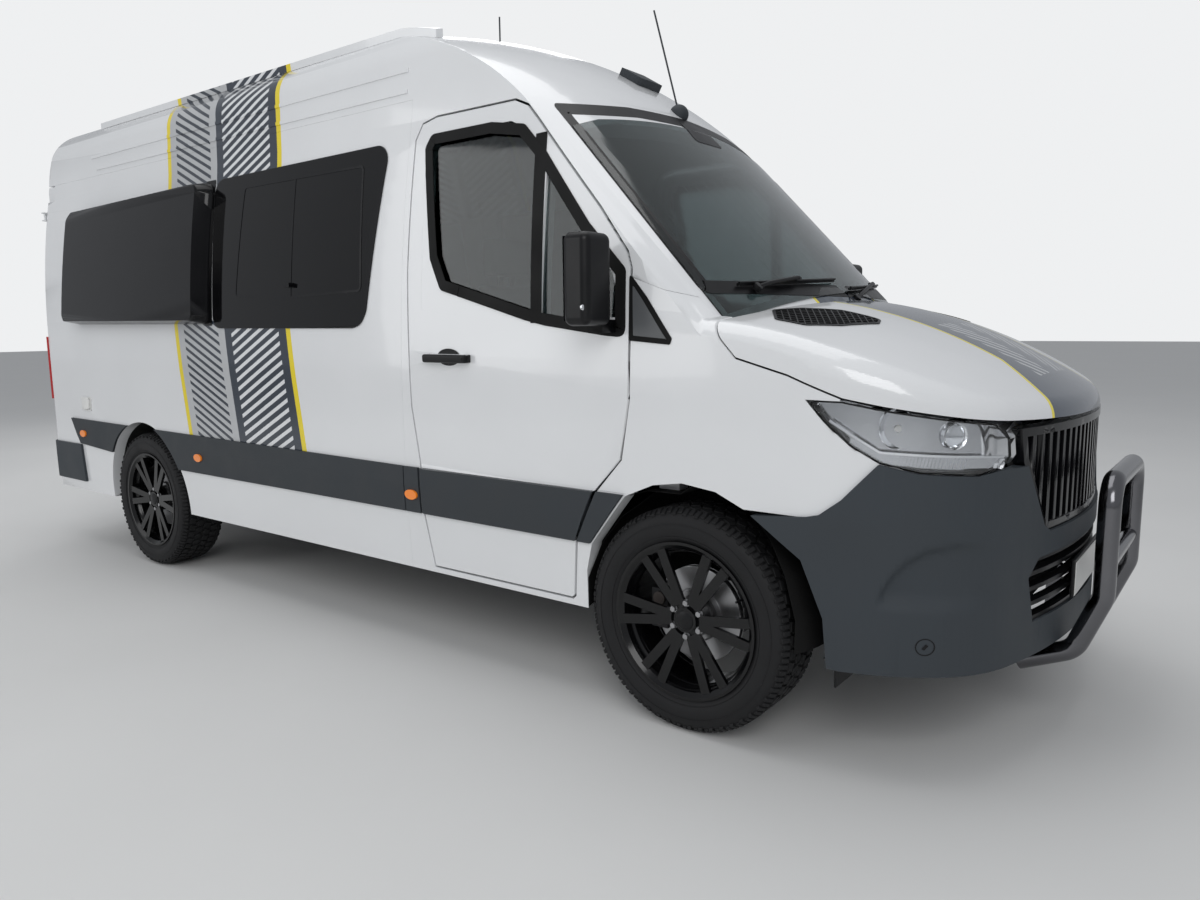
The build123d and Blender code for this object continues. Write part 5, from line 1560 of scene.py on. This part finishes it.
    def flap(self) -> None:
        """Builds the hook-up flap's rim, lid and catch on the right side."""
        shape = Laid(Surface("side_panel_right"), on_flank(-1))
        shape.frame_band([(-4.402, 0.876), (-4.402, 0.960), (-4.288, 0.960), (-4.288, 0.876)], 0.008, 0.004, 0.0002,
                         0.012, 0.05)
        shape.patch([(-4.392, 0.888), (-4.392, 0.950), (-4.298, 0.950), (-4.298, 0.888)], 0.012, 0.0002, 0.010, 0.06)
        shape.block(at(-4.352, -1.010, 0.884), at(-4.338, -0.998, 0.893), 0.002)
        shape.finish("hook_up_flap", "blank_plate", "body_white")

    def build(self) -> None:
        """Builds the doors' furniture."""
        self.handles()
        self.strips()
        self.rail()
        self.mirrors()
        self.flap()


@dataclass
class RoofDetail:
    """Pressed lines along the roof's sides, and ribs across its top."""

    lines: tuple[tuple[float, float, float, float], ...] = (
        # back X, back Z, front X, front Z
        (-4.300, 2.405, -1.400, 2.416), (-4.220, 2.330, -1.400, 2.330),
    )

    def build(self) -> None:
        """Lays the pressed lines on the roof's sides, and the ribs across its top."""
        side_surface = Surface("roof_shell", "side_panel_right", "side_panel_left")
        for side in (-1, 1):
            shape = Laid(side_surface, on_flank(side))
            for x1, z1, x2, z2 in self.lines:
                shape.strip([(x1, z1), (x2, z2)], 0.016, 0.0045, -0.0008, 0.30)
            shape.finish("roof_pressings_" + side_name(side), "body_paint", "body_white", smooth=60.0)
        top = Laid(Surface("roof_shell"), ON_TOP)
        for index in range(9):
            x = -4.25 + index * 0.32
            top.strip([(x, -0.52), (x, 0.52)], 0.060, 0.006, -0.001, 0.13)
        top.finish("roof_ribs", "body_paint", "body_white", smooth=60.0)


@dataclass
class Tail:
    """The back: lamp sections, high brake lamp, blank plate and the step's grip strips."""

    sections: tuple[tuple[float, float, str], ...] = (
        # low Z, high Z, finish
        (0.945, 1.000, "blank_plate"), (1.010, 1.070, "amber_lens"),
    )

    def lamps(self) -> None:
        """Builds the clear and amber sections and the dark frames of the tail lamps."""
        surface = Surface("tail_lamps")
        for side in (-1, 1):
            for low, high, finish in self.sections:
                part = Laid(surface, ON_TAIL)
                y = (0.940 * side, 0.978 * side)
                part.patch([(y[0], low), (y[1], low), (y[1], high), (y[0], high)], 0.0015, 0.0002, 0.005, 0.02)
                part.finish(f"lamp_{finish}_{side_name(side)}", finish, "lamp_red")
            rim = Laid(surface, ON_TAIL)
            corners = [(0.937 * side, 0.933), (0.982 * side, 0.933), (0.982 * side, 1.327), (0.937 * side, 1.327)]
            rim.frame_band(corners, 0.003, 0.002, 0.0002, 0.006, 0.03)
            rim.finish("tail_lamp_rim_" + side_name(side), "satin_black", "black_plastic")

    def centre(self) -> None:
        """Builds the high brake lamp, the blank rear plate and the step's strips."""
        outline = [(-0.150, 2.310), (0.150, 2.310), (0.150, 2.330), (-0.150, 2.330)]
        high = Laid(Surface("roof_shell"), ON_TAIL).patch(outline, 0.006, 0.0002, 0.008, 0.04)
        high.finish("high_brake_lamp", "red_lens", "lamp_red")
        outline = [(0.130, 0.780), (0.650, 0.780), (0.650, 0.891), (0.130, 0.891)]
        plate = Laid(Surface("rear_door_left"), ON_TAIL).patch(outline, 0.003, 0.0010, 0.008, 0.13)
        plate.finish("rear_plate", "blank_plate", "body_white", body_of("rear_door_left"))
        grips = Shape()
        for index in range(5):
            x = -4.957 + 0.009 * index
            grips.block(at(x, -0.660, 0.4885), at(x + 0.004, 0.660, 0.4925), 0.0012, 1)
        grips.finish("step_grips", "satin_black", "bumper")

    def build(self) -> None:
        """Builds the back's details."""
        self.lamps()
        self.centre()


@dataclass
class Cabin:
    """Seats and mattress with padding, the dashboard's details and the unit's fronts."""

    seat_y: float = 0.470

    def cushion(self, outline: Sequence[Flat], low: float, high: float, edge: float) -> Shape:
        """Makes a soft piece from its side outline.

        Args:
            outline: Its (x, z) corners.
            low: Its lowest Y.
            high: Its highest Y.
            edge: The radius of its edges.

        Returns:
            The shape.
        """
        shape = Shape()
        shape.slab([at(x, low, z) for x, z in outline], (0.0, high - low, 0.0), edge, 3)
        return shape

    def seats(self) -> None:
        """Builds both front seats from padded cushions, bolsters and headrests."""
        parts = (
            # name, half width, outline
            ("base", 0.165, ((-1.150, 0.865), (-0.715, 0.880), (-0.702, 0.985), (-0.760, 1.004), (-1.120, 0.985))),
            ("back", 0.160, ((-1.205, 0.985), (-1.112, 0.990), (-1.195, 1.545), (-1.282, 1.552))),
            ("head", 0.125, ((-1.286, 1.590), (-1.212, 1.590), (-1.206, 1.690), (-1.228, 1.752), (-1.280, 1.756))),
        )
        for side in (-1, 1):
            tag = side_name(side)
            middle = side * self.seat_y
            for index, (name, half, outline) in enumerate(parts):
                piece = self.cushion(outline, middle - half, middle + half, 0.022).finish(
                    f"seat_{name}_{tag}", "seat_cloth", "seat_cloth", smooth=60.0,
                    replaces=("front_seats",) if index == 0 and side < 0 else ())
            wings, frame_shape = Shape(), Shape()
            for way in (-1, 1):
                y = sorted((middle + way * 0.168, middle + way * 0.233))
                for outline in (
                    ((-1.160, 0.862), (-0.722, 0.872), (-0.708, 1.000), (-1.130, 1.008)),
                    ((-1.218, 0.960), (-1.085, 0.985), (-1.160, 1.440), (-1.284, 1.470)),
                ):
                    wings.slab([at(x, y[0], z) for x, z in outline], (0.0, y[1] - y[0], 0.0), 0.026, 3)
                frame_shape.rod(at(-1.246, middle + way * 0.055, 1.572), (0.1, 0.0, 1.0), 0.006, 0.070, 12)
                frame_shape.block(at(-1.190, middle + way * 0.19 - 0.03, 0.8505),
                                  at(-0.735, middle + way * 0.19 + 0.03, 0.868), 0.004)
            wings.finish("seat_bolsters_" + tag, "seat_cloth", "seat_cloth", smooth=60.0)
            frame_shape.finish("seat_frame_" + tag, "dark_steel", "steel")

    def bed(self) -> None:
        """Builds the mattress in three padded sections."""
        thirds = ((-4.768, -4.316), (-4.312, -3.860), (-3.856, -3.404))
        for index, (low, high) in enumerate(thirds):
            piece = self.cushion(((low, 0.9856), (high, 0.9856), (high, 1.110), (low, 1.110)), -0.905, 0.905, 0.022)
            section = piece.finish(f"mattress_{index + 1}", "mattress_cloth", "seat_cloth", smooth=60.0,
                                   replaces=("mattress",) if index == 0 else ())

    def dash(self) -> None:
        """Adds the instrument hood, screen and air vents, and dresses the steering wheel."""
        shape, glass = Shape(), Shape()
        hood = ((-0.500, 1.325), (-0.300, 1.392), (-0.300, 1.440), (-0.420, 1.442), (-0.520, 1.405))
        shape.slab([at(x, -0.640, z) for x, z in hood], (0.0, 0.340, 0.0), 0.014, 3)
        glass.block(at(-0.528, -0.130, 1.225), at(-0.512, 0.130, 1.372), 0.006)
        for y in (-0.770, -0.190, 0.190, 0.770):
            shape.block(at(-0.532, y - 0.055, 1.225), at(-0.500, y + 0.055, 1.300), 0.010)
            for row in range(4):
                z = 1.238 + row * 0.015
                glass.block(at(-0.535, y - 0.044, z), at(-0.530, y + 0.044, z + 0.005), 0.001, 1)
        shape.block(at(-0.545, -0.100, 0.985), at(-0.505, 0.100, 1.190), 0.016)
        shape.rod(at(-0.560, 0.0, 1.150), (-0.4, 0.0, 1.0), 0.018, 0.085, 20, 0.013, edge=0.004)
        shape.finish("dash_details", "dash_plastic", "dash")
        glass.finish("dash_screens", "gloss_black", "dash")
        dress("steering_wheel", "dash_plastic", "dash", 40.0, 0.003)

    def unit(self) -> None:
        """Adds worktop, fronts and catches to the kitchen unit."""
        shape, catches = Shape(), Shape()
        shape.block(at(-2.756, -0.918, 1.3305), at(-1.444, -0.452, 1.350), 0.006)
        for column in range(3):
            x = -2.740 + column * 0.427
            for low, high in ((0.625, 1.080), (1.088, 1.320)):
                shape.block(at(x, -0.4695, low), at(x + 0.419, -0.4550, high), 0.003)
                catches.rod(at(x + 0.210, -0.452, high - 0.040), (0.0, 1.0, 0.0), 0.011, 0.008, 20, edge=0.002)
        shape.finish("unit_fronts", "unit_white", "furniture")
        catches.finish("unit_catches", "brushed_steel", "steel")

    def build(self) -> None:
        """Builds the cabin's details."""
        self.seats()
        self.bed()
        self.dash()
        self.unit()


@dataclass
class Underside:
    """Liners of the front wheel arches and the tank's straps."""

    pin_y: float = 0.800
    open_angle: float = 23.0
    liner: tuple[Flat, ...] = (
        (0.4395, 0.360), (0.4395, 0.469), (0.3885, 0.599), (0.3165, 0.699), (0.2485, 0.749), (0.2065, 0.784),
        (0.1600, 0.803), (0.0, 0.8040),
    )
    skirt: tuple[Flat, ...] = (
        (-0.224, 0.790), (-0.150, 0.815), (-0.020, 0.817), (0.030, 0.853), (0.130, 0.842), (0.261, 0.784),
        (0.428, 0.669), (0.497, 0.500), (0.519, 0.352),
    )

    def liners(self) -> None:
        """Spins each liner about its king pin and closes it to the wing's lip."""
        shape = Shape()
        axis = at(0.0, self.pin_y, 0.0)
        angle = math.radians(self.open_angle)
        out = Vector((math.cos(angle), math.sin(angle), 0.0))
        start, edges = shape.chain(axis + out * r + Vector((0.0, 0.0, z)) for r, z in self.liner)
        sweep = math.tau - math.radians(180.0 - 2.0 * self.open_angle)
        bmesh.ops.spin(shape.bm, geom=[*start, *edges], cent=axis, axis=(0.0, 0.0, -1.0), angle=sweep, steps=48)
        bmesh.ops.remove_doubles(shape.bm, verts=list(shape.bm.verts), dist=WELD)
        _, edges = shape.chain(at(x, 0.640, z) for x, z in self.skirt)
        made = bmesh.ops.extrude_edge_only(shape.bm, edges=edges)["geom"]
        shape.move([g for g in made if isinstance(g, bmesh.types.BMVert)], Matrix.Translation((0.0, 0.322, 0.0)))
        bmesh.ops.recalc_face_normals(shape.bm, faces=list(shape.bm.faces))
        bmesh.ops.solidify(shape.bm, geom=list(shape.bm.faces), thickness=0.0012)
        shape.twin()
        shape.finish("arch_liners", "underseal", "underbody", smooth=40.0)

    def straps(self) -> None:
        """Builds the tank's straps."""
        shape = Shape()
        for x in (-2.700, -1.990):
            shape.tube([at(x, -0.470, 0.566), at(x, -0.480, 0.330), at(x, -0.500, 0.326),
                        at(x, -0.880, 0.326), at(x, -0.888, 0.340), at(x, -0.888, 0.560)], 0.007, 8)
        shape.finish("tank_straps", "dark_steel", "steel")

    def build(self) -> None:
        """Builds the underside's details."""
        self.liners()
        self.straps()


@dataclass
class Studio:
    """A pale floor, soft lamps and a camera where the photograph was taken from."""

    eye: tuple[float, float, float] = (3.422, -3.399, 1.378)
    yaw: float = 37.234
    pitch: float = -7.903
    roll: float = -0.557
    lens: float = 26.48
    shift: Flat = (-0.00515, -0.00296)
    floor_half: float = 60.0
    sky_colour: Colour = (0.86, 0.87, 0.88)

    def set_camera(self) -> None:
        """Creates the camera from its compass, tilt and roll angles."""
        yaw, pitch, roll = (math.radians(a) for a in (self.yaw, self.pitch, self.roll))
        ahead = Vector((-math.sin(yaw) * math.cos(pitch), math.cos(yaw) * math.cos(pitch), math.sin(pitch)))
        level = ahead.cross(Vector((0.0, 0.0, 1.0))).normalized()
        above = level.cross(ahead)
        right = level * math.cos(roll) + above * math.sin(roll)
        upward = above * math.cos(roll) - level * math.sin(roll)
        turn = Matrix((right, upward, -ahead)).transposed().to_4x4()
        data = bpy.data.cameras.new("photo_camera")
        data.lens = self.lens
        data.sensor_width = 36.0
        data.shift_x, data.shift_y = self.shift
        camera = bpy.data.objects.new("photo_camera", data)
        camera.matrix_world = Matrix.Translation(Vector(self.eye)) @ turn
        bpy.context.scene.collection.objects.link(camera)
        bpy.context.scene.camera = camera

    def lay_floor(self) -> None:
        bm = bmesh.new()
        bmesh.ops.create_grid(bm, x_segments=4, y_segments=4, size=self.floor_half)
        mesh = bpy.data.meshes.new("studio_floor")
        bm.to_mesh(mesh)
        bm.free()
        floor = bpy.data.objects.new("studio_floor", mesh)
        mesh.materials.append(PAINTS["studio_floor_paint"])
        bpy.context.scene.collection.objects.link(floor)

    def light(self) -> None:
        """Hangs the soft lamps and sets the world behind them."""
        lamps = (
            # name, place, aimed at, size, power
            ("key_softbox", (6.5, -7.5, 6.0), (0.4, 0.0, 1.0), 5.0, 270.0),
            ("top_softbox", (0.0, 0.0, 8.0), (0.0, 0.0, 0.0), 7.0, 200.0),
            ("back_softbox", (-7.0, 6.0, 5.0), (0.0, 0.0, 1.2), 5.0, 160.0),
            ("side_softbox", (-5.0, -8.0, 3.5), (-1.0, 0.0, 1.0), 5.0, 120.0),
        )
        for name, place, target, size, power in lamps:
            data = bpy.data.lights.new(name, "AREA")
            data.shape = "SQUARE"
            data.size = size
            data.energy = power
            lamp = bpy.data.objects.new(name, data)
            aim = (Vector(target) - Vector(place)).to_track_quat("-Z", "Y").to_matrix().to_4x4()
            lamp.matrix_world = Matrix.Translation(Vector(place)) @ aim
            bpy.context.scene.collection.objects.link(lamp)
        world = bpy.data.worlds.new("studio_world")
        world.use_nodes = True
        tree = world.node_tree
        tree.nodes.clear()
        output = tree.nodes.new("ShaderNodeOutputWorld")
        blend = tree.nodes.new("ShaderNodeMixShader")
        ambient = tree.nodes.new("ShaderNodeBackground")
        ambient.inputs[0].default_value = (0.92, 0.95, 1.0, 1.0)
        ambient.inputs[1].default_value = 0.42
        seen = tree.nodes.new("ShaderNodeBackground")
        seen.inputs[0].default_value = (*self.sky_colour, 1.0)
        path = tree.nodes.new("ShaderNodeLightPath")
        first = tree.nodes.new("ShaderNodeMath")
        first.operation = "MAXIMUM"
        tree.links.new(path.outputs["Is Camera Ray"], first.inputs[0])
        tree.links.new(path.outputs["Is Transmission Ray"], first.inputs[1])
        tree.links.new(first.outputs[0], blend.inputs[0])
        tree.links.new(ambient.outputs[0], blend.inputs[1])
        tree.links.new(seen.outputs[0], blend.inputs[2])
        tree.links.new(blend.outputs[0], output.inputs[0])
        bpy.context.scene.world = world

    def build(self) -> None:
        """Builds the whole studio."""
        self.set_camera()
        self.lay_floor()
        self.light()
        bpy.context.scene.view_settings.view_transform = "Standard"


@dataclass
class PlainParts:
    """The CAD nodes that keep their shape and only get a finish and smooth shading."""

    rows: tuple[tuple[str, str, str], ...] = (
        # finish, slot, nodes
        ("body_paint", "body_white", "side_panel_right side_panel_left sliding_door roof_shell cab_frame front_wings "
         "bonnet rear_door_right rear_door_left roof_rails"),
        ("door_paint", "body_white", "front_door_right front_door_left"),
        ("trim_plastic", "black_plastic", "trim_strips roof_fittings"),
        ("gloss_black", "black_plastic", "upper_grille side_pod_right side_pod_left"),
        ("satin_black", "black_plastic", "lower_grille"),
        ("bumper_plastic", "bumper", "rear_bumper"),
        ("amber_lens", "amber", "side_markers"),
        ("red_lens", "lamp_red", "tail_lamps"),
        ("cab_glass", "glazing", "windscreen door_glass_right door_glass_left"),
        ("privacy_glass", "glazing", "side_windows rear_glass_right rear_glass_left"),
        ("dark_steel", "steel", "knuckle_right knuckle_left front_suspension rear_axle exhaust"),
        ("alloy_cast", "engine", "engine"),
        ("tank_plastic", "tank", "fuel_tank"),
        ("underseal", "underbody", "floor_pan wheel_housings chassis"),
        ("dash_plastic", "dash", "dashboard"),
        ("birch_board", "furniture", "furniture"),
    )

    def build(self) -> None:
        """Dresses each listed node."""
        for finish, slot, nodes in self.rows:
            for node in nodes.split():
                dress(node, finish, slot)


def main() -> None:
    """Builds the studio and each sub-assembly in order."""
    logging.basicConfig(level=logging.INFO, format="%(message)s")
    for part in (Studio(), Wheels(), Headlamps(), Nose(), BonnetDetail(), Glazing(), DoorFurniture(), RoofDetail(),
                 Tail(), Cabin(), Underside(), PlainParts()):
        part.build()
        LOG.info("%s: built", type(part).__name__)


if __name__ == "__main__":
    main()
